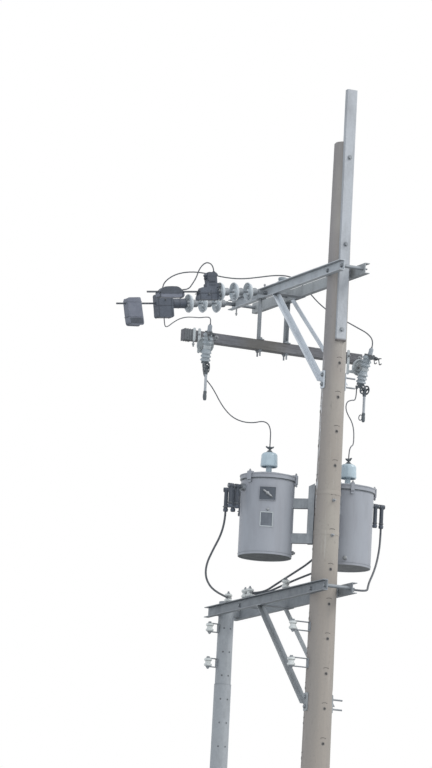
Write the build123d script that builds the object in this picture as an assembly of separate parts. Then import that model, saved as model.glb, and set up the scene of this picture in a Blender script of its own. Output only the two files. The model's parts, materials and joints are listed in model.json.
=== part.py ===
"""Pole mounted pair of distribution transformers on a spun concrete pole.

Frame: origin at the middle of the pole at ground level, +Z up.
The double arms run toward -X and the fuse crossarm runs along Y.
The incoming line ends toward -Y.  All sizes are millimetres.
"""
from build123d import *
import os
from math import cos, hypot, pi, radians, sin, sqrt, tan

# Concrete pole
pole_height = 11600
pole_base_diameter = 345
pole_top_diameter = 190
pole_edge_chamfer = 12

# Fasteners
bolt_diameter = 16
bolt_hole_clearance = 2
nut_across_flats = 26
nut_height = 13
washer_diameter = 44
washer_thickness = 4
bolt_tail = 24
long_bolt_tail = 95

# Channel and angle sections
channel_depth = 100
channel_flange = 50
channel_web = 5
channel_flange_thickness = 7
angle_leg = 50
angle_thickness = 5
arm_seat_clearance = 4
saddle_width = 90

# Upper double arm
arm_inner_reach = 340
arm_outer_reach = 2060
upper_arm_bottom = 10300
upper_brace_runs = (1035, 1180)
upper_brace_foot = 9305
brace_bolt_spacing = 90
tie_plate_width = 90
tie_plate_thickness = 6
gusset_width = 74
gusset_height = 170
spacer_pipe_diameter = 34
upper_spacer_places = (-2000, -1300, 290)

# Lower double arm and its outer post
lower_arm_bottom = 7270
lower_arm_outer_reach = 2200
lower_brace_runs = (1000, 1050)
lower_brace_foot = 6260
lower_spacer_places = (-1500, 290)
post_place = -2070
post_top_diameter = 150
post_base_diameter = 216
post_rise_above_arm = 55
post_lap_step = 5
post_lap_heights = (6620, 3350)
post_flange_diameter = 330
post_flange_thickness = 20

# Channel that carries on above the pole
extension_bottom = 9670
extension_length = 2430
extension_width = 100
extension_flange = 50
extension_stand_off = 16
extension_thickness = 7
extension_bolt_heights = (9780, 10600, 11440)

# Wooden fuse crossarm on two hangers
crossarm_place = -1345
crossarm_top = 9887
crossarm_depth = 100
crossarm_width = 85
crossarm_length = 1920
crossarm_edge_radius = 6
hanger_leg = 40
hanger_thickness = 5
hanger_plate_thickness = 8
hanger_plate_length = 96
hanger_plate_width = 62
hanger_bolt_spacing = 58
hanger_bolt_tail = 40

# Fuse cutouts
cutout_spacing = 1610
cutout_shift = 40
cutout_yaw = 12.5
cutout_lean = 19
cutout_reach = 200
cutout_height = 9700
porcelain_length = 280
porcelain_core_radius = 31
porcelain_shed_radius = 54
porcelain_sheds_each_half = 3
porcelain_cap_rim = 6
mid_band_height = 34
mid_band_thickness = 7
hood_radius = 81
hood_thickness = 8
hood_rim_depth = 18
hood_gap = 78
bracket_width = 46
bracket_thickness = 8
bracket_drop = 120
outer_strap_tail = 8
strap_places = (-40, -94)
strap_width = 26
strap_rise = 22
contact_thickness = 10
contact_reach = 112
contact_width = 46
prong_diameter = 10
prong_spread = 30
hinge_drop = 50
hinge_cap_height = 24
hinge_reach = 84
hinge_pin_diameter = 12
hinge_cheek_gap = 38
hinge_cheek_thickness = 7
hinge_wheel_radius = 46
hinge_wheel_rim = 14
hinge_spoke_width = 18
hinge_web_width = 28
lug_reach = 48
lug_diameter = 24
lug_drop = 26
terminal_cover_diameter = 44
terminal_cover_height = 68
terminal_cover_reach = 28

# Swinging fuse holders
holder_length = 318
holder_tube_radius = 13
holder_pin_clearance = 1
holder_trunnion_width = 26
holder_trunnion_depth = 30
holder_collar_drop = 52
ferrule_length = 84
ferrule_radius = 17
pull_ring_radius = 26
pull_ring_bar = 5

# Dead-end insulator strings of the line
string_places = (-1300, -2000)
string_first_disc = 318
string_droop = 7.7
disc_spacing = 150
disc_radius = 92
discs_per_string = 3
string_rod_diameter = 18
disc_cap_start = 46
disc_cap_height = 52
disc_cap_radius = 38
disc_pin_depth = 4
conductor_diameter = 18
line_start = 780
line_end = 1390

# Dark covers over the line clamps
inner_clamp_start = 640
inner_clamp_end = 862
inner_clamp_width = 76
inner_clamp_rise = 38
inner_clamp_depth = 80
jumper_cover_place = 702
jumper_cover_top = 182
jumper_cover_width = 66
gland_place = 665
gland_diameter = 28
gland_length = 14
inner_line_cover = (1010, 1285)
inner_line_cover_levels = (-62, 48)
outer_clamp_start = 650
outer_clamp_block = 800
outer_clamp_end = 975
outer_clamp_levels = (-140, 85)
outer_clamp_tube_diameter = 96
outer_line_start = 920
block_jumper_place = 890
outer_line_cover = (1095, 1300)
outer_line_cover_levels = (-206, 72)

# Post insulator on the far channel
post_insulator_place = -1460
post_insulator_radius = 85
post_insulator_height = 165

# Transformer tanks
tank_diameter = 505
tank_bottom = 7615
tank_height = 755
tank_skirt_depth = 22
tank_wall = 8
tank_rim_height = 34
tank_rim_width = 12
tank_offset = 575
left_tank_angle = 233
right_tank_angle = 135
lid_thickness = 9
lid_dome_height = 32
lid_clamp_width = 46

# High voltage bushings
bushing_neck_diameter = 56
bushing_neck_height = 62
bushing_bell_diameter = 163
bushing_bell_height = 137
bushing_bell_wall = 14
terminal_stud_diameter = 20
terminal_block_width = 46
terminal_block_height = 44

# Low voltage bushings with hanging cable boots
low_bushing_drop = 120
low_bushing_angles = (-40, 0, 40)
low_bushing_boss_diameter = 66
low_bushing_boss_length = 34
low_bushing_bar_diameter = 22
low_bushing_reach = 168
boot_places = (72, 142)
boot_length = 195
boot_diameter = 44

# Tank hangers and pole bands
hanger_channel_width = 84
hanger_channel_depth = 52
hanger_channel_thickness = 8
hanger_bottom = 7750
hanger_top = 8330
hanger_slope = 40
lug_heights = (7800, 8130)
lug_depth = 93
lug_width = 54
lug_thickness = 8
band_heights = (7850, 8230)
band_width = 60
band_thickness = 6
band_ear = 42

# Low voltage spool insulators
spool_radius = 38
spool_height = 76
spool_groove = 11
spool_strap_width = 44
spool_strap_thickness = 6
spool_pitch = 340
pole_spool_drop = 310
pole_spool_reach = 300
post_spool_drop = 110
post_spool_count = 2
post_spool_reach = 170
arm_spool_places = (-487, -1250, -1350, -1720)
arm_spool_edge = 27
cable_clamp_place = 245
cable_clamp_width = 36
cable_clamp_reach = 57
cable_clamp_level = 7315

# Longer than any piece, for cuts that go right through
cut_reach = 4000

# Share of a cable's shorter run that its bend takes up
bend_share = 0.45

bolt_hole_diameter = bolt_diameter + bolt_hole_clearance
upper_arm_top = upper_arm_bottom + channel_depth
lower_arm_top = lower_arm_bottom + channel_depth
post_top = lower_arm_top + post_rise_above_arm


def pole_radius(height):
    """Radius of the tapered pole at a height."""
    drop = (pole_base_diameter - pole_top_diameter) * height / pole_height
    return (pole_base_diameter - drop) / 2


def block(x_range, y_range, z_range):
    """Box between two values along each axis."""
    size = [high - low for low, high in (x_range, y_range, z_range)]
    middle = [(high + low) / 2 for low, high in (x_range, y_range, z_range)]
    return Pos(*middle) * Box(*size)


def rod(start, end, diameter):
    """Round bar between two points."""
    axis = Vector(*end) - Vector(*start)
    section = Plane(origin=start, z_dir=axis) * Circle(diameter / 2)
    return extrude(section, amount=axis.length)


def hex_piece(start, direction, across_flats, height):
    """Hexagon nut or bolt head that starts at a point."""
    section = Plane(origin=start, z_dir=direction) * RegularPolygon(across_flats / sqrt(3), 6)
    return extrude(section, amount=height)


def through_bolt(start, end, tail=bolt_tail):
    """Bolt with a head at start, a nut at end and a threaded tail past the nut."""
    first = Vector(*start)
    last = Vector(*end)
    along = (last - first).normalized()
    shank_end = last + along * (washer_thickness + nut_height + tail)
    bolt = rod(first, shank_end, bolt_diameter)
    bolt += rod(first - along * washer_thickness, first, washer_diameter)
    bolt += rod(last, last + along * washer_thickness, washer_diameter)
    bolt += hex_piece(first - along * washer_thickness, -along, nut_across_flats, nut_height)
    bolt += hex_piece(last + along * washer_thickness, along, nut_across_flats, nut_height)
    return bolt


def bore(start, end):
    """Clearance hole for a bolt between two points."""
    return rod(start, end, bolt_hole_diameter)


def spin(profile):
    """Solid made by turning a closed outline in the XZ plane about Z."""
    return revolve(make_face(Plane.XZ * profile), axis=Axis.Z)


pole_body = Cone(
    pole_base_diameter / 2,
    pole_top_diameter / 2,
    pole_height,
    align=(Align.CENTER, Align.CENTER, Align.MIN),
)

# Bolt places on the pole, as heights
upper_arm_bolt = upper_arm_bottom + channel_depth / 2
lower_arm_bolt = lower_arm_bottom + channel_depth / 2
upper_gusset_bolts = (
    upper_brace_foot - brace_bolt_spacing / 2,
    upper_brace_foot + brace_bolt_spacing / 2,
)
lower_gusset_bolts = (
    lower_brace_foot - brace_bolt_spacing / 2,
    lower_brace_foot + brace_bolt_spacing / 2,
)
cross_bolts = (upper_arm_bolt, lower_arm_bolt) + upper_gusset_bolts + lower_gusset_bolts


def make_pole():
    """Tapered spun concrete pole with its bolt holes."""
    top_edge = pole_body.edges().sort_by(Axis.Z)[-1]
    pole = chamfer(top_edge, pole_edge_chamfer)
    reach = pole_base_diameter
    for height in cross_bolts:
        pole -= bore((0, -reach, height), (0, reach, height))
    for height in extension_bolt_heights:
        pole -= bore((-reach, 0, height), (reach, 0, height))
    return pole


def make_extension_channel():
    """Upright channel bolted to the pole, flanges bearing on it."""
    face = pole_radius(extension_bottom) + extension_stand_off
    half = extension_width / 2
    wall = extension_thickness
    outline = Polyline(
        (face, -half),
        (face, half),
        (face - extension_flange, half),
        (face - extension_flange, half - wall),
        (face - wall, half - wall),
        (face - wall, wall - half),
        (face - extension_flange, wall - half),
        (face - extension_flange, -half),
        close=True,
    )
    channel = extrude(make_face(outline), amount=extension_length)
    channel = Pos(0, 0, extension_bottom) * channel - pole_body
    for height in extension_bolt_heights:
        channel -= bore((0, 0, height), (face + wall, 0, height))
    return channel


def extension_bolts():
    """Bolts that hold the extension channel."""
    face = pole_radius(extension_bottom) + extension_stand_off
    bolts = []
    for height in extension_bolt_heights:
        back = -pole_radius(height) - 1
        bolts.append(through_bolt((face, 0, height), (back, 0, height)))
    return bolts


def web_face(arm_bottom):
    """Distance of a channel's flat back from the middle of the pole."""
    return pole_radius(arm_bottom) + arm_seat_clearance


def arm_channel(side, arm_bottom, outer_reach, holes):
    """One channel of a double arm, its flanges turned away from the pole."""
    half = channel_depth / 2
    outline = Polyline(
        (0, -half),
        (channel_flange, -half),
        (channel_flange, channel_flange_thickness - half),
        (channel_web, channel_flange_thickness - half),
        (channel_web, half - channel_flange_thickness),
        (channel_flange, half - channel_flange_thickness),
        (channel_flange, half),
        (0, half),
        close=True,
    )
    start = (-outer_reach, web_face(arm_bottom), arm_bottom + half)
    plane = Plane(origin=start, x_dir=(0, 1, 0), z_dir=(1, 0, 0))
    channel = extrude(plane * make_face(outline), amount=outer_reach + arm_inner_reach)
    middle = arm_bottom + half
    deep = web_face(arm_bottom) + channel_flange
    for place in holes:
        channel -= bore((place, 0, middle), (place, deep, middle))
    if side < 0:
        channel = mirror(channel, about=Plane.XZ)
    return channel


def arm_brace(side, arm_bottom, run, foot):
    """Sloping angle brace with a flat plate at its foot on the pole."""
    inner = web_face(arm_bottom)
    pole_face = pole_radius(foot - gusset_height / 2)
    plate_face = max(inner, pole_face)
    top = arm_bottom - tie_plate_thickness
    slope = Vector(-run, 0, top - foot).normalized()
    outline = Polyline(
        (0, -angle_leg / 2),
        (angle_thickness, -angle_leg / 2),
        (angle_thickness, angle_leg / 2 - angle_thickness),
        (angle_leg, angle_leg / 2 - angle_thickness),
        (angle_leg, angle_leg / 2),
        (0, angle_leg / 2),
        close=True,
    )
    plane = Plane(origin=(0, plate_face, foot), x_dir=(0, 1, 0), z_dir=slope)
    length = hypot(run, top - foot) + angle_leg
    brace = extrude(plane * make_face(outline), amount=length)
    brace -= block((-run - cut_reach, 0), (0, cut_reach), (top, top + cut_reach))
    plate = block(
        (-gusset_width / 2, gusset_width / 2),
        (plate_face, plate_face + angle_thickness),
        (foot - gusset_height / 2, foot + gusset_height / 2),
    )
    plate = fillet(plate.edges().filter_by(Axis.Y), 14)
    brace += plate
    for step in (-0.5, 0.5):
        height = foot + step * brace_bolt_spacing
        brace -= bore((0, 0, height), (0, cut_reach, height))
    if side < 0:
        brace = mirror(brace, about=Plane.XZ)
    return brace


def arm_saddles(arm_bottom):
    """Packing blocks between the round pole and the flat channel backs."""
    inner = web_face(arm_bottom)
    z_range = (arm_bottom, arm_bottom + channel_depth)
    saddles = []
    middle = arm_bottom + channel_depth / 2
    for side in (-1, 1):
        y_range = sorted((side * inner, side * inner * 0.6))
        saddle = block((-saddle_width / 2, saddle_width / 2), y_range, z_range)
        saddle -= pole_body
        saddle -= bore((0, -inner, middle), (0, inner, middle))
        saddles.append(saddle)
    return saddles


def foot_washers(arm_bottom, foot):
    """Packing between the pole and the plates at the feet of the braces."""
    inner = max(web_face(arm_bottom), pole_radius(foot - gusset_height / 2))
    pads = []
    for side in (-1, 1):
        y_range = sorted((side * inner, side * inner * 0.6))
        z_range = (foot - gusset_height / 2, foot + gusset_height / 2)
        pad = block((-gusset_width / 2, gusset_width / 2), y_range, z_range)
        pad -= pole_body
        for step in (-0.5, 0.5):
            height = foot + step * brace_bolt_spacing
            pad -= bore((0, -inner, height), (0, inner, height))
        pads.append(pad)
    return pads


def tie_plates(arm_bottom, runs):
    """Plate under both channels where the near brace ends, and a seat for the far one."""
    inner = web_face(arm_bottom)
    reach = inner + channel_flange
    half = tie_plate_width / 2
    z_range = (arm_bottom - tie_plate_thickness, arm_bottom)
    near_run, far_run = runs
    plate = block((-near_run - half, -near_run + half), (-reach, reach), z_range)
    plate += block((-far_run - half, -near_run), (inner, reach), z_range)
    return plate


def spacer_bolts(arm_bottom, places):
    """Bolts with pipe spacers that hold the two channels apart."""
    inner = web_face(arm_bottom)
    middle = arm_bottom + channel_depth / 2
    outer = inner + channel_web
    parts = []
    for place in places:
        pipe = rod((place, -inner, middle), (place, inner, middle), spacer_pipe_diameter)
        bolt = through_bolt((place, -outer, middle), (place, outer, middle))
        parts.append(pipe + bolt)
    return parts


def arm_fixings(arm_bottom, runs, foot, spacer_places):
    """Everything that bolts one double arm to the pole."""
    inner = web_face(arm_bottom)
    middle = arm_bottom + channel_depth / 2
    outer = inner + channel_web
    plate_outer = max(inner, pole_radius(foot - gusset_height / 2)) + angle_thickness
    parts = [tie_plates(arm_bottom, runs)]
    parts += arm_saddles(arm_bottom)
    parts += foot_washers(arm_bottom, foot)
    parts += spacer_bolts(arm_bottom, spacer_places)
    parts.append(through_bolt((0, -outer, middle), (0, outer, middle), long_bolt_tail))
    for step in (-0.5, 0.5):
        height = foot + step * brace_bolt_spacing
        start = (0, -plate_outer, height)
        end = (0, plate_outer, height)
        parts.append(through_bolt(start, end, long_bolt_tail))
    return parts


def hanger_places():
    """Middle lines of the two crossarm hangers, as Y values."""
    reach = web_face(upper_arm_bottom) + channel_flange / 2 + hanger_leg / 4
    return (-reach, reach)


def make_hanger(place):
    """Angle bar with end plates and two bolts through the crossarm."""
    side = 1 if place > 0 else -1
    x_mid = crossarm_place
    top = upper_arm_bottom
    low = crossarm_top
    plate_x = (x_mid - hanger_plate_length / 2, x_mid + hanger_plate_length / 2)
    plate_y = (place - hanger_plate_width / 2, place + hanger_plate_width / 2)
    half = hanger_leg / 2
    outline = Polyline(
        (-half, -half),
        (half, -half),
        (half, hanger_thickness - half),
        (hanger_thickness - half, hanger_thickness - half),
        (hanger_thickness - half, half),
        (-half, half),
        close=True,
    )
    bar = extrude(make_face(outline), amount=top - low)
    if side > 0:
        bar = mirror(bar, about=Plane.XZ)
    hanger = Pos(x_mid, place, low) * bar
    hanger += block(plate_x, plate_y, (low, low + hanger_plate_thickness))
    hanger += block(plate_x, plate_y, (top - hanger_plate_thickness, top))
    for step in (-0.5, 0.5):
        x = x_mid + step * hanger_bolt_spacing
        start = (x, place, low + hanger_plate_thickness)
        end = (x, place, crossarm_top - crossarm_depth)
        hanger -= rod(start, (x, place, low), bolt_diameter)
        hanger += through_bolt(start, end, hanger_bolt_tail)
    return hanger


def make_crossarm():
    """Timber crossarm with eased edges and bolt holes."""
    half = crossarm_length / 2
    z_range = (crossarm_top - crossarm_depth, crossarm_top)
    x_range = (crossarm_place - crossarm_width / 2, crossarm_place + crossarm_width / 2)
    arm = block(x_range, (-half, half), z_range)
    arm = chamfer(arm.edges().filter_by(Axis.Y), crossarm_edge_radius)
    for place in hanger_places():
        for step in (-0.5, 0.5):
            x = crossarm_place + step * hanger_bolt_spacing
            arm -= rod((x, place, z_range[0]), (x, place, z_range[1]), bolt_diameter)
    return arm


# The cutouts are made in their own frame: +X points away from the crossarm,
# and the origin is on the crossarm's face at the height of the porcelain's middle.
lean = radians(cutout_lean)
porcelain_axis = Vector(sin(lean), 0, cos(lean))
outward_axis = Vector(cos(lean), 0, -sin(lean))
porcelain_middle = Vector(cutout_reach, 0, 0)


def cutout_point(along, outward, sideways=0):
    """Point given along the porcelain, away from it and sideways."""
    point = porcelain_middle + porcelain_axis * along + outward_axis * outward
    return Vector(point.X, sideways, point.Z)


hinge_along = -porcelain_length / 2 - hinge_drop
hinge_point = cutout_point(hinge_along, hinge_reach)
porcelain_plane = Plane(origin=cutout_point(-porcelain_length / 2, 0), z_dir=porcelain_axis)
cutout_feet = []
cutout_frames = []
for cutout_side in (-1, 1):
    foot = Pos(
        crossarm_place + crossarm_width / 2,
        cutout_shift + cutout_side * cutout_spacing / 2,
        cutout_height,
    )
    cutout_feet.append(foot)
    cutout_frames.append(foot * Rot(0, 0, cutout_side * cutout_yaw))


def cutout_porcelain():
    """Ribbed porcelain with its middle left plain for the bracket's band."""
    core = porcelain_core_radius
    shed = porcelain_shed_radius
    solid = Cylinder(core, porcelain_length, align=(Align.CENTER, Align.CENTER, Align.MIN))
    plain = mid_band_height / 2 + 8
    pitch = (porcelain_length / 2 - plain) / porcelain_sheds_each_half
    for half_start in (0, porcelain_length / 2 + plain):
        for number in range(porcelain_sheds_each_half):
            base = half_start + pitch * (number + 0.24)
            outline = Polyline(
                (core - 2, base - 4),
                (shed - 4, base),
                (shed, base + 4),
                (shed - 3, base + 8),
                (core - 2, base + pitch * 0.6),
                close=True,
            )
            solid += spin(outline)
    return porcelain_plane * solid


def cutout_bracket(side):
    """Straps on the crossarm, the arm to the porcelain's band and the round hood."""
    face_height = crossarm_top - crossarm_depth / 2 - cutout_height
    crossarm_low = face_height - crossarm_depth / 2
    strap_lows = (crossarm_low - bracket_drop, crossarm_low - outer_strap_tail)
    strap_high = face_height + crossarm_depth / 2 + strap_rise
    band_outer = porcelain_core_radius + mid_band_thickness
    band_plane = Plane(origin=cutout_point(-mid_band_height / 2, 0), z_dir=porcelain_axis)
    tube = Cylinder(band_outer, mid_band_height, align=(Align.CENTER, Align.CENTER, Align.MIN))
    core = Cylinder(porcelain_core_radius, 3 * mid_band_height)
    half_arm = bracket_width / 2
    half_rib = bracket_thickness / 2
    arm = block((0, cutout_reach), (-half_arm, half_arm), (-14, -14 + bracket_thickness))
    arm += block((0, cutout_reach), (-half_rib, half_rib), (-7, 14))
    bracket = arm + band_plane * tube
    dish = Cylinder(hood_radius, hood_rim_depth, align=(Align.CENTER, Align.CENTER, Align.MIN))
    dish -= Pos(0, 0, hood_thickness) * Cylinder(
        hood_radius - hood_thickness, cut_reach, align=(Align.CENTER, Align.CENTER, Align.MIN)
    )
    dish_plane = Plane(origin=cutout_point(0, -hood_gap - hood_rim_depth), z_dir=outward_axis)
    bracket += dish_plane * dish
    bracket -= band_plane * core
    straps = block(
        (0, bracket_thickness),
        (strap_places[0] - strap_width / 2, strap_width / 2),
        (-14, -14 + strap_width),
    )
    for place, strap_low in zip(strap_places, strap_lows):
        strap = block(
            (0, bracket_thickness),
            (place - strap_width / 2, place + strap_width / 2),
            (strap_low, strap_high),
        )
        straps += fillet(strap.edges().filter_by(Axis.X), strap_width / 2 - 1)
    return Rot(0, 0, side * cutout_yaw) * bracket + straps


def bent_rod(points, diameter):
    """Round bar with rounded elbows through a few points."""
    bar = rod(points[0], points[1], diameter)
    for start, end in zip(points[1:-1], points[2:]):
        bar += Pos(*start) * Sphere(diameter / 2)
        bar += rod(start, end, diameter)
    return bar


def cutout_top_contact():
    """Contact plate on the porcelain's end, its two guide prongs and the terminal cover."""
    top = porcelain_length / 2
    cap_radius = porcelain_core_radius + porcelain_cap_rim
    contact = rod(cutout_point(top, 0), cutout_point(top + contact_thickness, 0), 2 * cap_radius)
    middle = cutout_point(top, contact_reach / 2)
    plane = Plane(origin=middle, x_dir=outward_axis, z_dir=porcelain_axis)
    contact += extrude(plane * Rectangle(contact_reach, contact_width), amount=contact_thickness)
    level = top + contact_thickness / 2
    for side in (-1, 1):
        start_side = side * (contact_width / 2 - prong_diameter / 2)
        prong_side = side * prong_spread
        prong = bent_rod(
            (
                cutout_point(level, contact_reach - 14, start_side),
                cutout_point(level - 8, contact_reach + 22, prong_side),
                cutout_point(level - 62, contact_reach + 58, prong_side),
                cutout_point(level - 44, contact_reach + 84, prong_side),
            ),
            prong_diameter,
        )
        horn = bent_rod(
            (
                cutout_point(level - 8, contact_reach + 22, prong_side),
                cutout_point(level + 4, contact_reach + 64, prong_side),
            ),
            prong_diameter,
        )
        contact += prong + horn
    base = top + contact_thickness
    contact += rod(
        cutout_point(base, terminal_cover_reach),
        cutout_point(base + terminal_cover_height, terminal_cover_reach),
        terminal_cover_diameter,
    )
    return contact


def cutout_hinge():
    """Bottom casting whose two wheel-shaped cheeks carry the holder's pin."""
    bottom = -porcelain_length / 2
    cap_radius = porcelain_core_radius + porcelain_cap_rim
    cap_end = bottom - hinge_cap_height
    hinge = rod(cutout_point(cap_end, 0), cutout_point(bottom, 0), 2 * cap_radius)
    wide = hinge_cheek_gap + 2 * hinge_cheek_thickness
    arm_end = hinge_reach - hinge_wheel_radius + 4
    arm_middle = (arm_end - lug_reach) / 2
    arm_plane = Plane(
        origin=cutout_point(hinge_along, arm_middle), x_dir=outward_axis, z_dir=porcelain_axis
    )
    hinge += extrude(arm_plane * Rectangle(arm_end + lug_reach, hinge_web_width), amount=14)
    fork_plane = Plane(
        origin=cutout_point(hinge_along, arm_end - 9), x_dir=outward_axis, z_dir=porcelain_axis
    )
    hinge += extrude(fork_plane * Rectangle(18, wide), amount=18)
    web_plane = Plane(
        origin=cutout_point(hinge_along + 6, 0), x_dir=outward_axis, z_dir=porcelain_axis
    )
    web_height = cap_end - hinge_along
    hinge += extrude(web_plane * Rectangle(40, hinge_web_width), amount=web_height)
    rim_inner = hinge_wheel_radius - hinge_wheel_rim
    for side in (-1, 1):
        middle = side * (hinge_cheek_gap + hinge_cheek_thickness) / 2
        start = middle + hinge_cheek_thickness / 2
        plane = Plane(
            origin=cutout_point(hinge_along, hinge_reach, start),
            x_dir=outward_axis,
            z_dir=(0, -1, 0),
        )
        cheek = Circle(hinge_wheel_radius) - Circle(rim_inner)
        cheek += Rot(0, 0, 35) * Rectangle(2 * rim_inner + 8, hinge_spoke_width)
        cheek += Circle(hinge_pin_diameter)
        hinge += extrude(plane * cheek, amount=hinge_cheek_thickness)
    half = Vector(0, wide / 2 + 5, 0)
    hinge += rod(hinge_point - half, hinge_point + half, hinge_pin_diameter)
    lug = cutout_point(hinge_along + 7, -lug_reach)
    hinge += rod((lug.X, 0, lug.Z + 7), (lug.X, 0, lug.Z - lug_drop), lug_diameter)
    return hinge


def fuse_holder():
    """Swinging fuse holder, hanging open straight down from its pin."""
    x = hinge_point.X
    z = hinge_point.Z
    half = holder_trunnion_width / 2
    half_depth = holder_trunnion_depth / 2
    collar = z - holder_collar_drop
    tube_end = z - holder_length + ferrule_length
    holder = rod((x, -half, z), (x, half, z), holder_trunnion_depth + 6)
    holder += block((x - half_depth, x + half_depth), (-half, half), (collar, z))
    holder += rod((x, 0, collar + 12), (x, 0, collar - 14), 2 * holder_tube_radius + 8)
    holder += rod((x, 0, collar), (x, 0, tube_end), 2 * holder_tube_radius)
    ferrule = rod((x, 0, tube_end), (x, 0, z - holder_length), 2 * ferrule_radius)
    holder += chamfer(ferrule.edges().sort_by(Axis.Z)[0], 5)
    pull_x = x - ferrule_radius - pull_ring_radius
    pull_z = z - holder_length + ferrule_length * 0.6
    pull = Torus(pull_ring_radius, pull_ring_bar)
    holder += Pos(pull_x, 0, pull_z) * Rot(90, 0, 0) * pull
    pin_hole = hinge_pin_diameter + 2 * holder_pin_clearance
    holder -= rod((x, -cut_reach, z), (x, cut_reach, z), pin_hole)
    return holder


def disc_profile():
    """Outline of one suspension disc, about its own axis with the skirt at zero."""
    rim = disc_radius
    return Polyline(
        (0, 4),
        (rim - 62, 4),
        (rim - 58, 18),
        (rim - 50, 2),
        (rim - 42, 16),
        (rim - 30, 0),
        (rim - 20, 14),
        (rim - 4, -4),
        (rim, 4),
        (rim - 10, 22),
        (rim - 40, 38),
        (rim - 56, 46),
        (0, 46),
        close=True,
    )


line_height = upper_arm_bottom + channel_depth / 2
disc_cap_end = disc_cap_start + disc_cap_height
string_pin = string_first_disc - disc_cap_end - 18


def string_frame(place, distance=0):
    """Frame on a drooping string: own -Y runs out along the line, as far as distance."""
    turn = Pos(place, -string_pin, line_height) * Rot(string_droop, 0, 0)
    return turn * Pos(0, string_pin - distance, 0)


def disc_frame(place, number):
    """Frame of one disc, whose own +Z points back toward the arm."""
    distance = string_first_disc + number * disc_spacing
    return string_frame(place, distance) * Rot(-90, 0, 0)


def string_discs(place):
    """Porcelain discs of one string."""
    return [disc_frame(place, number) * spin(disc_profile()) for number in range(discs_per_string)]


def string_fittings(place, clamp_start):
    """Steel caps, pins and the shackle that hold the discs to the arm."""
    bolt_head = web_face(upper_arm_bottom) + channel_web + washer_thickness + nut_height
    parts = []
    for number in range(discs_per_string):
        cap = Pos(0, 0, disc_cap_start) * Cylinder(
            disc_cap_radius, disc_cap_height, align=(Align.CENTER, Align.CENTER, Align.MIN)
        )
        cap = fillet(cap.edges().sort_by(Axis.Z)[-1], 14)
        pin_length = disc_spacing - disc_cap_end + disc_pin_depth
        if number == discs_per_string - 1:
            distance = string_first_disc + number * disc_spacing
            pin_length = clamp_start - distance + disc_pin_depth
        pin = Pos(0, 0, disc_pin_depth - pin_length) * Cylinder(
            string_rod_diameter / 2, pin_length, align=(Align.CENTER, Align.CENTER, Align.MIN)
        )
        if number == 0:
            for side in (-1, 1):
                ear_x = sorted((side * 9, side * 16))
                cap += block(ear_x, (-20, 20), (disc_cap_end - 14, disc_cap_end + 32))
            cap += rod((-23, 0, disc_cap_end + 18), (23, 0, disc_cap_end + 18), 14)
        frame = disc_frame(place, number)
        parts.append(frame * cap)
        parts.append(frame * pin)
    eye = rod((place, -bolt_head, line_height), (place, -bolt_head - 22, line_height), 36)
    tongue = block(
        (place - 8, place + 8),
        (-string_pin - 11, -bolt_head - 16),
        (line_height - 18, line_height + 18),
    )
    tongue -= rod(
        (place - 40, -string_pin, line_height), (place + 40, -string_pin, line_height), 16
    )
    parts.append(eye + tongue)
    return parts


def make_inner_clamp_cover():
    """Closed cover, wider below, over the inner dead-end clamp."""
    outline = Polyline(
        (-inner_clamp_start, -inner_clamp_depth),
        (-inner_clamp_start, -10),
        (-inner_clamp_start - 22, inner_clamp_rise),
        (-inner_clamp_end + 40, inner_clamp_rise),
        (-inner_clamp_end, -inner_clamp_depth + 26),
        (-inner_clamp_end, -inner_clamp_depth),
        close=True,
    )
    cover = extrude(make_face(Plane.YZ * outline), amount=inner_clamp_width / 2, both=True)
    cover = fillet(cover.edges().filter_by(Axis.X), 8)
    cover -= rod((0, -line_start, 0), (0, -line_end, 0), conductor_diameter)
    return string_frame(string_places[0]) * cover


def make_jumper_cover():
    """Ridged cover with a cable gland, on top of the inner clamp cover."""
    base = inner_clamp_rise
    middle = -jumper_cover_place
    outline = Polyline(
        (middle - 66, base),
        (middle - 66, base + 34),
        (middle - 52, base + 44),
        (middle - 52, jumper_cover_top - 34),
        (middle - 62, jumper_cover_top - 28),
        (middle - 62, jumper_cover_top - 16),
        (middle - 46, jumper_cover_top),
        (middle + 46, jumper_cover_top),
        (middle + 62, jumper_cover_top - 16),
        (middle + 62, jumper_cover_top - 28),
        (middle + 52, jumper_cover_top - 34),
        (middle + 52, base + 44),
        (middle + 66, base + 34),
        (middle + 66, base),
        close=True,
    )
    cover = extrude(make_face(Plane.YZ * outline), amount=jumper_cover_width / 2, both=True)
    low = (0, -gland_place, jumper_cover_top - 10)
    high = (0, -gland_place, jumper_cover_top + gland_length)
    cover += rod(low, high, gland_diameter)
    return string_frame(string_places[0]) * cover


def make_outer_clamp_cover():
    """Tube and block cover over the outer dead-end clamp."""
    half = 46
    low, high = outer_clamp_levels
    tube = rod((0, -outer_clamp_start, 0), (0, -outer_clamp_block, 0), outer_clamp_tube_diameter)
    body = block((-half, half), (-outer_clamp_end, -outer_clamp_block), (low, high))
    body = fillet(body.edges().filter_by(Axis.X), 16)
    body -= rod((0, -outer_line_start, 0), (0, -line_end, 0), conductor_diameter)
    return string_frame(string_places[1]) * (tube + body)


def make_line_covers():
    """Covers on the two line conductors."""
    start, end = inner_line_cover
    bar = block((-42, 42), (-end, -start), inner_line_cover_levels)
    bar = fillet(bar.edges().filter_by(Axis.Y), 18)
    start, end = outer_line_cover
    box = block((-55, 55), (-end, -start), outer_line_cover_levels)
    box = fillet(box.edges().filter_by(Axis.Y).group_by(Axis.Z)[-1], 30)
    conductor = rod((0, -line_end, 0), (0, 0, 0), conductor_diameter)
    return [
        string_frame(string_places[0]) * (bar - conductor),
        string_frame(string_places[1]) * (box - conductor),
    ]


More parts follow.
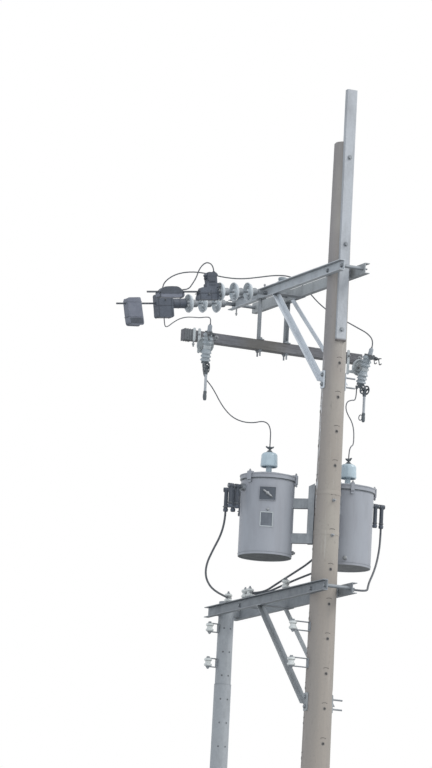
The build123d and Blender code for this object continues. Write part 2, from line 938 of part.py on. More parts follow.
def make_line_ends():
    """Short ends of the two line conductors."""
    starts = (line_start, outer_line_start)
    ends = []
    for place, start in zip(string_places, starts):
        end = rod((0, -start, 0), (0, -line_end, 0), conductor_diameter)
        ends.append(string_frame(place) * end)
    return ends


def make_post_insulator():
    """Pin insulator that stands on the far channel."""
    radius = post_insulator_radius
    tall = post_insulator_height
    outline = Polyline(
        (0, 40),
        (40, 40),
        (radius - 12, 34),
        (radius, 42),
        (radius - 6, 56),
        (46, 84),
        (radius - 18, 88),
        (radius - 14, 98),
        (48, 122),
        (38, 132),
        (44, 142),
        (44, tall - 8),
        (32, tall),
        (0, tall),
        close=True,
    )
    body = spin(outline)
    body += Cylinder(16, 42, align=(Align.CENTER, Align.CENTER, Align.MIN))
    middle = web_face(upper_arm_bottom) + channel_flange / 2
    return Pos(post_insulator_place, middle, upper_arm_top) * body


def tank_frame(angle):
    """Frame at a tank's middle whose own +X points away from the pole."""
    x = tank_offset * cos(radians(angle))
    y = tank_offset * sin(radians(angle))
    return Pos(x, y, tank_bottom) * Rot(0, 0, angle)


tank_angles = (left_tank_angle, right_tank_angle)
tank_radius = tank_diameter / 2
lid_level = tank_height + lid_thickness
low_bushing_height = tank_height - low_bushing_drop


def make_tank(angle):
    """Tank with a recessed bottom and a rolled rim."""
    inner = tank_radius - tank_wall
    rim = tank_radius + tank_rim_width
    outline = Polyline(
        (0, tank_skirt_depth),
        (inner, tank_skirt_depth),
        (inner, 0),
        (tank_radius, 0),
        (tank_radius, tank_height - tank_rim_height - 8),
        (rim, tank_height - tank_rim_height),
        (rim, tank_height),
        (0, tank_height),
        close=True,
    )
    return tank_frame(angle) * spin(outline)


def make_lid(angle):
    """Domed lid with three clamps over its edge."""
    edge = tank_radius + tank_rim_width + 4
    neck = bushing_neck_diameter / 2 + 10
    flat_top = tank_height + lid_thickness + lid_dome_height
    with BuildSketch(Plane.XZ) as section:
        with BuildLine():
            Polyline((0, flat_top), (neck, flat_top))
            ThreePointArc(
                (neck, flat_top),
                (edge * 0.62, flat_top - lid_dome_height * 0.3),
                (edge - 20, tank_height + lid_thickness),
            )
            Polyline(
                (edge - 20, tank_height + lid_thickness),
                (edge, tank_height + lid_thickness),
                (edge, tank_height),
                (0, tank_height),
                (0, flat_top),
            )
        make_face()
    lid = revolve(section.sketch, axis=Axis.Z)
    parts = [lid]
    half = lid_clamp_width / 2
    for turn in (60, 180, 300):
        outer = edge + 12
        base = tank_height - tank_rim_height - 24
        clamp = block((edge - 34, outer), (-half, half), (base, lid_level + 14))
        clamp -= block((0, edge), (-60, 60), (0, lid_level))
        clamp -= Cylinder(edge, 4 * lid_level)
        clamp += block((edge - 34, outer), (-half, half), (lid_level, lid_level + 14)) - lid
        parts.append(Rot(0, 0, turn) * clamp)
    return [tank_frame(angle) * piece for piece in parts]


def bushing_base():
    """Height of the lid's flat top in a tank's frame."""
    return tank_height + lid_thickness + lid_dome_height


def make_hv_bushing(angle):
    """Porcelain neck under a large bell that is hollow below."""
    neck = bushing_neck_diameter / 2
    bell = bushing_bell_diameter / 2
    wall = bushing_bell_wall
    base = bushing_base()
    skirt = base + bushing_neck_height
    crown = skirt + bushing_bell_height
    shoulder = bell - 22
    with BuildSketch(Plane.XZ) as section:
        with BuildLine():
            Polyline((0, crown), (shoulder - 14, crown))
            ThreePointArc(
                (shoulder - 14, crown),
                (bell - 14, crown - 11),
                (bell - 5, crown - 34),
            )
            Polyline(
                (bell - 5, crown - 34),
                (bell, skirt + 10),
                (bell - 4, skirt),
                (bell - wall, skirt + 3),
                (bell - wall - 6, crown - 46),
                (neck + 8, crown - 38),
                (neck, crown - 44),
                (neck, base + 16),
                (neck + 9, base + 10),
                (neck + 9, base),
                (0, base),
                (0, crown),
            )
        make_face()
    return tank_frame(angle) * revolve(section.sketch, axis=Axis.Z)


def make_hv_terminal(angle):
    """Stud and clamp on top of the bell."""
    crown = bushing_base() + bushing_neck_height + bushing_bell_height
    stud = rod((0, 0, crown), (0, 0, crown + 26), terminal_stud_diameter)
    half = terminal_block_width / 2
    clamp = block((-half, half), (-half, half), (crown + 18, crown + 18 + terminal_block_height))
    clamp = fillet(clamp.edges().filter_by(Axis.Z), 8)
    nut = hex_piece((0, 0, crown), (0, 0, 1), 34, 18)
    return tank_frame(angle) * (stud + clamp + nut)


def low_bushing_frames(angle):
    """Frames on a tank's wall whose own +X points straight out."""
    frames = []
    for turn in low_bushing_angles:
        frames.append(
            tank_frame(angle) * Rot(0, 0, turn) * Pos(tank_radius, 0, low_bushing_height)
        )
    return frames


def make_low_bushings(angle):
    """Light bosses on the tank wall, each with a terminal bar."""
    bushings = []
    for frame in low_bushing_frames(angle):
        boss = rod((-6, 0, 0), (low_bushing_boss_length, 0, 0), low_bushing_boss_diameter)
        boss -= Pos(-tank_radius, 0, 0) * Cylinder(tank_radius, cut_reach)
        bar = rod(
            (low_bushing_boss_length, 0, 0),
            (low_bushing_reach, 0, 0),
            low_bushing_bar_diameter,
        )
        bushings.append(frame * (boss + bar))
    return bushings


def cable_boot(place):
    """Hanging boot with a short sleeve round the terminal bar."""
    sleeve_half = boot_diameter / 2 + 4
    sleeve = rod((place - sleeve_half, 0, 0), (place + sleeve_half, 0, 0), boot_diameter)
    hanging = rod((place, 0, 0), (place, 0, -boot_length), boot_diameter - 6)
    boot = sleeve + hanging
    boot -= rod((0, 0, 0), (low_bushing_reach, 0, 0), low_bushing_bar_diameter)
    return boot


def make_low_boots(angle):
    """Two hanging boots on each terminal bar."""
    boots = []
    for frame in low_bushing_frames(angle):
        for place in boot_places:
            boots.append(frame * cable_boot(place))
    return boots


band_seat_radius = pole_radius(band_heights[0]) + band_thickness


def hanger_frame(angle):
    """Frame on the pole's axis whose own +X points at a tank."""
    return Rot(0, 0, angle)


def make_tank_hanger(angle):
    """Upright channel on the pole bands with two lugs out to the tank."""
    seat = band_seat_radius
    face = seat + hanger_channel_depth
    half = hanger_channel_width / 2
    wall = hanger_channel_thickness
    outline = Polyline(
        (seat - 20, -half),
        (face, -half),
        (face, half),
        (seat - 20, half),
        (seat - 20, half - wall),
        (face - wall, half - wall),
        (face - wall, wall - half),
        (seat - 20, wall - half),
        close=True,
    )
    upright = extrude(make_face(outline), amount=hanger_top - hanger_bottom)
    upright = Pos(0, 0, hanger_bottom) * upright
    upright -= Pos(0, 0, hanger_bottom) * Cylinder(seat, cut_reach)
    slope = Polyline(
        (face + 1, hanger_top - hanger_slope),
        (face + 1, hanger_top + 1),
        (seat - 30, hanger_top + 1),
        close=True,
    )
    upright -= extrude(make_face(Plane.XZ * slope), amount=cut_reach, both=True)
    parts = [upright]
    lug_end = tank_offset - tank_radius
    for height in lug_heights:
        y_range = (-lug_width / 2, lug_width / 2)
        lug = block((face, lug_end + 30), y_range, (height - lug_depth / 2, height + lug_depth / 2))
        hollow_y = (lug_thickness - lug_width / 2, lug_width / 2 - lug_thickness)
        hollow_z = (height - lug_depth / 2, height + lug_depth / 2 - lug_thickness)
        lug -= block((face + lug_thickness, lug_end - 12), hollow_y, hollow_z)
        lug -= Pos(tank_offset, 0, height) * Cylinder(tank_radius, cut_reach)
        parts.append(lug)
    return [hanger_frame(angle) * piece for piece in parts]


def make_pole_bands():
    """Steel bands round the pole with bolted ears on the open side."""
    bands = []
    for height in band_heights:
        low = height - band_width / 2
        ring = Pos(0, 0, low) * Cylinder(
            band_seat_radius, band_width, align=(Align.CENTER, Align.CENTER, Align.MIN)
        )
        ring -= pole_body
        seat = band_seat_radius
        for side in (-1, 1):
            y_range = sorted((side * 9, side * (9 + band_thickness)))
            ear = block((seat - 4, seat + band_ear), y_range, (low, low + band_width))
            ring += ear - Pos(0, 0, low) * Cylinder(seat - 3, cut_reach)
        ring -= block((0, cut_reach), (-9, 9), (low - 1, low + band_width + 1))
        bolt_x = seat + band_ear / 2
        reach = 9 + band_thickness
        ring -= rod((bolt_x, -reach, height), (bolt_x, reach, height), bolt_diameter)
        ring += through_bolt((bolt_x, -reach, height), (bolt_x, reach, height))
        bands.append(ring)
    return bands


def post_radius(height):
    """Outer radius of the lapped steel post at a height."""
    share = (post_top - height) / post_top
    laps = sum(1 for lap in post_lap_heights if height < lap)
    grow = (post_base_diameter - post_top_diameter) / 2 - post_lap_step * len(post_lap_heights)
    return post_top_diameter / 2 + grow * share + laps * post_lap_step


def make_post():
    """Lapped steel post with a base flange."""
    edges = [0] + sorted(post_lap_heights) + [post_top]
    outline = [(0, 0)]
    for low, high in zip(edges[:-1], edges[1:]):
        outline.append((post_radius(low), low))
        outline.append((post_radius(high - 0.001), high))
    outline.append((0, post_top))
    post = spin(Polyline(*outline, close=True))
    flange = Cylinder(
        post_flange_diameter / 2,
        post_flange_thickness,
        align=(Align.CENTER, Align.CENTER, Align.MIN),
    )
    return Pos(post_place, 0, 0) * (post + flange)


def post_saddles():
    """Blocks that fill between the post and the channel backs."""
    inner = web_face(lower_arm_bottom)
    radius = post_radius(lower_arm_bottom)
    saddles = []
    for side in (-1, 1):
        y_range = sorted((side * radius * 0.6, side * inner))
        x_range = (post_place - 45, post_place + 45)
        saddle = block(x_range, y_range, (lower_arm_bottom + 15, lower_arm_top - 15))
        saddle -= Pos(post_place, 0, lower_arm_bottom) * Cylinder(radius, cut_reach)
        saddles.append(saddle)
    return saddles


def spool_outline():
    """Outline of a spool insulator standing on zero."""
    groove = spool_radius - spool_groove
    return Polyline(
        (bolt_diameter / 2, 0),
        (spool_radius - 6, 0),
        (spool_radius, 8),
        (spool_radius, 20),
        (groove, spool_height / 2 - 10),
        (groove, spool_height / 2 + 10),
        (spool_radius, spool_height - 20),
        (spool_radius, spool_height - 8),
        (spool_radius - 6, spool_height),
        (bolt_diameter / 2, spool_height),
        close=True,
    )


def clevis(back, reach):
    """U-shaped iron from a wall at back to a spool at reach, along -Y."""
    half = spool_strap_width / 2
    level = spool_height / 2
    wall = spool_strap_thickness
    iron = block((-half, half), (-back - wall, -back), (-level - wall, level + wall))
    for side in (-1, 1):
        z_range = sorted((side * level, side * (level + wall)))
        strap = block((-half, half), (-reach, -back), z_range)
        strap += Pos(0, -reach, (z_range[0] + z_range[1]) / 2) * Cylinder(half, wall)
        iron += strap
    iron += rod((0, -reach, -level - wall - 20), (0, -reach, level + wall + 12), bolt_diameter)
    for side in (-1, 1):
        start = (0, -reach, side * (level + wall))
        iron += hex_piece(start, (0, 0, side), nut_across_flats, nut_height)
    return iron


def pole_and_post_spools():
    """Clevis irons and spools down the pole, above the brace's foot, and down the post."""
    irons = []
    spools = []
    rows = []
    spool_foot = spool_height / 2 + spool_strap_thickness
    lowest = lower_brace_foot + gusset_height / 2 + spool_height
    height = lower_arm_bottom - pole_spool_drop
    while height > lowest:
        rows.append((0, height, pole_radius(height - spool_foot), pole_spool_reach))
        height -= spool_pitch
    for number in range(post_spool_count):
        height = lower_arm_bottom - post_spool_drop - number * spool_pitch
        rows.append((post_place, height, post_radius(height - spool_foot), post_spool_reach))
    for place, height, back, reach in rows:
        irons.append(Pos(place, 0, height) * clevis(back, reach))
        foot = Pos(place, -reach, height - spool_height / 2)
        spools.append(foot * spin(spool_outline()))
    return irons, spools


def arm_top_spools():
    """Spools on upright bolts through the near channel's top flange."""
    irons = []
    spools = []
    middle = -web_face(lower_arm_bottom) - arm_spool_edge
    for place in arm_spool_places:
        base = lower_arm_top + washer_thickness
        iron = rod((place, middle, lower_arm_top), (place, middle, base), washer_diameter)
        iron += rod((place, middle, base), (place, middle, base + spool_height + 26), bolt_diameter)
        nut_start = (place, middle, base + spool_height)
        iron += hex_piece(nut_start, (0, 0, 1), nut_across_flats, nut_height)
        irons.append(iron)
        spools.append(Pos(place, middle, base) * spin(spool_outline()))
    return irons, spools


def cable_clamp():
    """Block on the far lower channel that holds the end of a cable."""
    web = web_face(lower_arm_bottom) + channel_web
    half = cable_clamp_width / 2
    clamp = block(
        (cable_clamp_place - half, cable_clamp_place + half),
        (web, web + cable_clamp_reach),
        (cable_clamp_level - half, cable_clamp_level + half),
    )
    return fillet(clamp.edges().filter_by(Axis.Y), 6)


def string_point(place, distance, rise):
    """Point at a distance along a drooping string and above its middle."""
    return (string_frame(place, distance) * Pos(0, 0, rise)).position


def lead_lug(number):
    """Point under the lug of a cutout's lower casting."""
    lug = cutout_point(hinge_along + 7, -lug_reach)
    return (cutout_frames[number] * Pos(lug.X, 0, lug.Z - lug_drop)).position


def cover_point(number, distance):
    """Point beyond the end of a cutout's terminal cover, along it."""
    along = porcelain_length / 2 + contact_thickness + terminal_cover_height + distance
    return (cutout_frames[number] * Pos(*cutout_point(along, terminal_cover_reach))).position


def tank_terminal(angle):
    """Point on top of a tank's high voltage terminal."""
    top = bushing_base() + bushing_neck_height + bushing_bell_height + 18 + terminal_block_height
    return (tank_frame(angle) * Pos(0, 0, top)).position


def boot_point(angle, bushing, boot):
    """Point under one of the boots on a tank's low voltage bushings."""
    frame = low_bushing_frames(angle)[bushing]
    return (frame * Pos(boot_places[boot], 0, -boot_length)).position


def spool_point(place, beyond):
    """Point beside the waist of a spool on the lower arm, on the side of another point."""
    middle = -web_face(lower_arm_bottom) - arm_spool_edge
    level = lower_arm_top + washer_thickness + spool_height / 2
    axis_point = Vector(place, middle, level)
    away = Vector(beyond[0] - place, beyond[1] - middle, 0).normalized()
    return axis_point + away * (spool_radius - spool_groove + 0.5)


def cord_routes():
    """Diameter and route of every cable between two terminals."""
    down = Vector(0, 0, -1)
    inner, outer = string_places
    outer_high = outer_clamp_levels[1]
    outer_low = outer_clamp_levels[0]
    jumper_top = jumper_cover_top + gland_length
    routes = {}
    routes["line_loop_jumper"] = (
        12,
        string_point(inner, inner_line_cover[0], 20),
        string_point(inner, inner_line_cover[0] - 60, 20),
        (inner, -902, 10338),
        (inner, -866, 10405),
        (inner, -846, 10475),
        (inner, -808, 10535),
        (inner, -756, 10568),
        string_point(inner, gland_place, jumper_top + 58),
        string_point(inner, gland_place, jumper_top),
    )
    routes["main_jumper"] = (
        12,
        string_point(outer, block_jumper_place, outer_high),
        string_point(outer, block_jumper_place, outer_high + 65),
        (-1975, -885, 10480),
        (-1905, -800, 10550),
        (-1835, -665, 10578),
        (-1770, -520, 10564),
        (-1705, -370, 10535),
        (-1640, -225, 10530),
        (-1570, -80, 10555),
        (-1500, 70, 10586),
        (-1445, 200, 10586),
        (-1395, 275, 10535),
        (-1340, 355, 10440),
        (-1285, 450, 10320),
        (-1220, 560, 10225),
        (-1145, 690, 10150),
        (-1080, 795, 10085),
        (-1030, 865, 10040),
        cover_point(1, 72),
        cover_point(1, 0),
    )
    routes["left_cutout_jumper"] = (
        10,
        string_point(outer, block_jumper_place, outer_low),
        string_point(outer, block_jumper_place, outer_low - 45),
        (-1965, -866, 10025),
        (-1890, -872, 10010),
        (-1770, -876, 10030),
        (-1640, -874, 10046),
        (-1500, -865, 10044),
        (-1360, -853, 10022),
        (-1230, -844, 9996),
        (-1105, -836, 9985),
        (-1025, -833, 9968),
        cover_point(0, 40),
        cover_point(0, 0),
    )
    left_lug = lead_lug(0)
    left_terminal = tank_terminal(left_tank_angle)
    routes["left_bushing_lead"] = (
        11,
        left_lug,
        left_lug + down * 60,
        (-1165, -770, 9390),
        (-1100, -745, 9325),
        (-1040, -722, 9245),
        (-975, -706, 9160),
        (-900, -680, 9072),
        (-815, -640, 8992),
        (-715, -585, 8942),
        (-610, -520, 8924),
        (-500, -468, 8935),
        (-420, -445, 8895),
        (-365, -449, 8815),
        left_terminal - down * 68,
        left_terminal,
    )
    right_lug = lead_lug(1)
    right_terminal = tank_terminal(right_tank_angle)
    routes["right_bushing_lead"] = (
        11,
        right_lug,
        right_lug + down * 64,
        (-1165, 830, 9392),
        (-1085, 755, 9375),
        (-1030, 675, 9340),
        (-965, 632, 9260),
        (-880, 618, 9180),
        (-780, 610, 9105),
        (-690, 590, 9010),
        (-600, 550, 8905),
        (-510, 500, 8822),
        (-435, 437, 8792),
        right_terminal - down * 63,
        right_terminal,
    )
    right_boot = boot_point(right_tank_angle, 0, 1)
    clamp_face = web_face(lower_arm_bottom) + channel_web + cable_clamp_reach
    routes["right_tank_cable"] = (
        20,
        right_boot,
        right_boot + down * 95,
        (-385, 765, 7835),
        (-290, 695, 7690),
        (-170, 600, 7560),
        (-20, 485, 7450),
        (97, 412, 7378),
        (207, 352, 7330),
        (cable_clamp_place, clamp_face + 80, cable_clamp_level),
        (cable_clamp_place, clamp_face, cable_clamp_level),
    )
    left_boot = boot_point(left_tank_angle, 1, 1)
    routes["left_tank_cable"] = (
        20,
        left_boot,
        left_boot + down * 90,
        (-640, -780, 7830),
        (-780, -790, 7700),
        (-950, -770, 7590),
        (-1130, -690, 7500),
        (-1300, -560, 7440),
        (-1450, -420, 7418),
        (-1580, -290, 7412),
        spool_point(arm_spool_places[3], (-1580, -290)),
    )
    upper_boot = boot_point(right_tank_angle, 2, 1)
    routes["upper_crossing_cable"] = (
        20,
        upper_boot,
        upper_boot + down * 95,
        (-840, 395, 7840),
        (-905, 290, 7710),
        (-985, 165, 7605),
        (-1075, 40, 7500),
        (-1160, -57, 7412),
        spool_point(arm_spool_places[1], (-1160, -57)),
    )
    lower_boot = boot_point(right_tank_angle, 1, 1)
    routes["lower_crossing_cable"] = (
        20,
        lower_boot,
        lower_boot + down * 105,
        (-735, 610, 7820),
        (-815, 490, 7710),
        (-900, 360, 7630),
        (-1010, 235, 7565),
        (-1125, 110, 7490),
        (-1215, 10, 7428),
        (-1275, -65, 7412),
        spool_point(arm_spool_places[2], (-1275, -65)),
    )
    return routes


def cord_radii(points):
    """Radius of each bend, from the shorter of the two runs beside it."""
    radii = []
    for before, corner, after in zip(points, points[1:], points[2:]):
        first = corner - before
        second = after - corner
        turn = radians(first.get_angle(second))
        shorter = min(first.length, second.length)
        radii.append(bend_share * shorter / tan(turn / 2))
    return radii


def make_cord(name, route):
    """Round cable of straight runs joined by tangent bends."""
    diameter = route[0]
    points = [Vector(*point) for point in route[1:]]
    radii = cord_radii(points)
    path = FilletPolyline(*points, radius=radii)
    start_plane = Plane(origin=points[0], z_dir=points[1] - points[0])
    tube = sweep(start_plane * Circle(diameter / 2), path=path)
    expected = pi * diameter**2 / 4 * path.length
    print(name, "length", round(path.length), "tightest bend", round(min(radii)))
    print(name, "volume ratio", round(tube.volume / expected, 4))
    print(name, "route", [tuple(round(value, 2) for value in point) for point in points])
    return tube


def make_nodes():
    """Every node of the part by name."""
    upper_holes = (0,) + upper_spacer_places
    lower_holes = (0,) + lower_spacer_places
    nodes = {}
    nodes["pole"] = [make_pole()]
    nodes["top_extension_channel"] = [make_extension_channel()]
    for side, name in ((-1, "near"), (1, "far")):
        nodes["top_arm_channel_" + name] = [
            arm_channel(side, upper_arm_bottom, arm_outer_reach, upper_holes)
        ]
        nodes["lower_arm_channel_" + name] = [
            arm_channel(side, lower_arm_bottom, lower_arm_outer_reach, lower_holes)
        ]
    nodes["top_arm_braces"] = []
    nodes["lower_arm_braces"] = []
    for side, upper_run, lower_run in zip((-1, 1), upper_brace_runs, lower_brace_runs):
        upper_brace = arm_brace(side, upper_arm_bottom, upper_run, upper_brace_foot)
        lower_brace = arm_brace(side, lower_arm_bottom, lower_run, lower_brace_foot)
        nodes["top_arm_braces"].append(upper_brace)
        nodes["lower_arm_braces"].append(lower_brace)
    nodes["top_arm_fixings"] = arm_fixings(
        upper_arm_bottom, upper_brace_runs, upper_brace_foot, upper_spacer_places
    )
    nodes["top_arm_fixings"] += extension_bolts()
    nodes["lower_arm_fixings"] = arm_fixings(
        lower_arm_bottom, lower_brace_runs, lower_brace_foot, lower_spacer_places
    )
    nodes["lower_arm_fixings"] += post_saddles()
    nodes["lower_arm_fixings"].append(cable_clamp())
    nodes["crossarm_hangers"] = [make_hanger(place) for place in hanger_places()]
    nodes["fuse_crossarm"] = [make_crossarm()]
    nodes["cutout_brackets"] = [
        foot * cutout_bracket(side) for foot, side in zip(cutout_feet, (-1, 1))
    ]
    nodes["cutout_insulators"] = [frame * cutout_porcelain() for frame in cutout_frames]
    nodes["cutout_top_contacts"] = [frame * cutout_top_contact() for frame in cutout_frames]
    nodes["cutout_hinges"] = [frame * cutout_hinge() for frame in cutout_frames]
    nodes["fuse_holder_left"] = [cutout_frames[0] * fuse_holder()]
    nodes["fuse_holder_right"] = [cutout_frames[1] * fuse_holder()]
    nodes["dead_end_discs"] = []
    nodes["dead_end_fittings"] = []
    for place, start in zip(string_places, (inner_clamp_start, outer_clamp_start)):
        nodes["dead_end_discs"] += string_discs(place)
        nodes["dead_end_fittings"] += string_fittings(place, start)
    nodes["clamp_cover_inner"] = [make_inner_clamp_cover()]
    nodes["clamp_cover_outer"] = [make_outer_clamp_cover()]
    nodes["jumper_cover"] = [make_jumper_cover()]
    nodes["line_covers"] = make_line_covers()
    nodes["line_ends"] = make_line_ends()
    nodes["post_insulator"] = [make_post_insulator()]
    nodes["tank_left"] = [make_tank(left_tank_angle)]
    nodes["tank_right"] = [make_tank(right_tank_angle)]
    for name in ("tank_lids", "hv_bushings", "hv_terminals", "lv_bushings", "lv_boots"):
        nodes[name] = []
    nodes["tank_hangers"] = []
    for angle in tank_angles:
        nodes["tank_lids"] += make_lid(angle)
        nodes["hv_bushings"].append(make_hv_bushing(angle))
        nodes["hv_terminals"].append(make_hv_terminal(angle))
        nodes["lv_bushings"] += make_low_bushings(angle)
        nodes["lv_boots"] += make_low_boots(angle)
        nodes["tank_hangers"] += make_tank_hanger(angle)
    nodes["pole_bands"] = make_pole_bands()
    nodes["lower_arm_post"] = [make_post()]
    pole_irons, pole_spools = pole_and_post_spools()
    arm_irons, arm_spools = arm_top_spools()
    nodes["spool_irons"] = pole_irons + arm_irons
    nodes["spool_insulators"] = pole_spools + arm_spools
    for name, route in cord_routes().items():
        nodes[name] = [make_cord(name, route)]
    return nodes


os.makedirs("parts", exist_ok=True)
for node_name, solids in make_nodes().items():
    pieces = []
    for solid in solids:
        pieces += solid.solids()
    shape = pieces[0] if len(pieces) == 1 else Compound(children=pieces)
    export_step(shape, "parts/" + node_name + ".step")
    print(node_name, len(pieces))
print("hinge points", [(frame * Pos(*hinge_point)).position for frame in cutout_frames])
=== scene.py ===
"""Looks of the pole mounted transformer bank.  All lengths are metres."""
import json
import math

import bmesh
import bpy
from mathutils import Matrix, Vector

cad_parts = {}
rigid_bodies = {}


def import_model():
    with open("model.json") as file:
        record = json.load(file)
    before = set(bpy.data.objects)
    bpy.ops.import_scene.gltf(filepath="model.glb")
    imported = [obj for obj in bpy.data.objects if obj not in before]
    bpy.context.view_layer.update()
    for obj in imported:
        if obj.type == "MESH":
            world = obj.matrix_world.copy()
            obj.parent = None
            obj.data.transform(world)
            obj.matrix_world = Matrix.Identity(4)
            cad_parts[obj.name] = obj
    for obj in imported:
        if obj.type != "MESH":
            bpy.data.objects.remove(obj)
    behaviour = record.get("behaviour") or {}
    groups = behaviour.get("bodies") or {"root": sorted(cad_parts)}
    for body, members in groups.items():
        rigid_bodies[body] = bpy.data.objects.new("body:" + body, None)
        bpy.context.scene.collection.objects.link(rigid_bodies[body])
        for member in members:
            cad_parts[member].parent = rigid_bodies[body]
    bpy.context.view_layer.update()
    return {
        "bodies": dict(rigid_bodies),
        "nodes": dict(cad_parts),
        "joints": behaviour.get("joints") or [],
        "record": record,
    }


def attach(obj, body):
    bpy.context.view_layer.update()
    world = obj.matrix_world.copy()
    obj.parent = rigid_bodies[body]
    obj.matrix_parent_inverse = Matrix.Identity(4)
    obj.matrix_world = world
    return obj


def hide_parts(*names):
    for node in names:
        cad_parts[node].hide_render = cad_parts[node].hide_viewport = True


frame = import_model()

# Camera at the photograph's place: far off, low down and looking up
CAMERA_PLACE = (39.2955, -19.7958, 0.9133)
CAMERA_AIM = (-0.49476, -0.98213, 9.22331)
CAMERA_ROLL = 2.953
CAMERA_LENS = 223.42
SENSOR_HEIGHT = 36.0
VIEW_DISTANCE = 400

SKY_COLOR = (0.82, 0.9, 1.0, 1)
SKY_STRENGTH = 0.75
LAMP_COLOR = (1.0, 0.98, 0.95)
FLOOR_HALF_SIZE = 40


def placed(name, data):
    """New object in the scene."""
    thing = bpy.data.objects.new(name, data)
    bpy.context.scene.collection.objects.link(thing)
    return thing


def spin(axis, angle):
    """Rotation about one axis, in degrees."""
    return Matrix.Rotation(math.radians(angle), 4, axis)


def new_node(tree, kind, inputs=(), operation=None):
    """Node whose inputs take plain values or the outputs of other nodes."""
    node = tree.nodes.new("ShaderNode" + kind)
    if operation:
        node.operation = operation
    for key, value in dict(inputs).items():
        if isinstance(value, bpy.types.NodeSocket):
            tree.links.new(value, node.inputs[key])
        else:
            node.inputs[key].default_value = value
    return node


def add_camera():
    """Camera that matches the photograph's framing."""
    bpy.context.scene.view_settings.view_transform = "Standard"
    data = bpy.data.cameras.new("camera")
    data.sensor_fit = "VERTICAL"
    data.sensor_height = SENSOR_HEIGHT
    data.lens = CAMERA_LENS
    data.clip_end = VIEW_DISTANCE
    camera = placed("camera", data)
    place = Vector(CAMERA_PLACE)
    turn = (Vector(CAMERA_AIM) - place).to_track_quat("-Z", "Y").to_matrix().to_4x4()
    camera.matrix_world = Matrix.Translation(place) @ turn @ spin("Z", CAMERA_ROLL)
    bpy.context.scene.camera = camera


def add_world():
    """Soft even daylight, with a plain white backdrop for the camera."""
    world = bpy.data.worlds.new("daylight")
    bpy.context.scene.world = world
    world.use_nodes = True
    tree = world.node_tree
    tree.nodes.clear()
    sky = new_node(tree, "Background", {"Color": SKY_COLOR, "Strength": SKY_STRENGTH})
    white = new_node(tree, "Background", {"Color": (1, 1, 1, 1)})
    rays = new_node(tree, "LightPath")
    seen = rays.outputs["Is Camera Ray"]
    for kind in ("Is Glossy Ray", "Is Transmission Ray"):
        seen = new_node(tree, "Math", {0: seen, 1: rays.outputs[kind]}, "MAXIMUM").outputs[0]
    mix = new_node(tree, "MixShader", {0: seen, 1: sky.outputs[0], 2: white.outputs[0]})
    new_node(tree, "OutputWorld", {"Surface": mix.outputs[0]})


def add_sun(name, strength, angle, toward):
    """Broad sun lamp that shines from a direction."""
    data = bpy.data.lights.new(name, "SUN")
    data.energy = strength
    data.angle = math.radians(angle)
    data.color = LAMP_COLOR
    lamp = placed(name, data)
    lamp.rotation_euler = (-Vector(toward)).to_track_quat("-Z", "Y").to_euler()


def add_floor(material):
    """Pale floor that the pole stands on."""
    size = FLOOR_HALF_SIZE
    mesh = bpy.data.meshes.new("floor")
    corners = [(-size, -size, 0), (size, -size, 0), (size, size, 0), (-size, size, 0)]
    mesh.from_pydata(corners, [], [(0, 1, 2, 3)])
    mesh.materials.append(material)
    placed("floor", mesh)


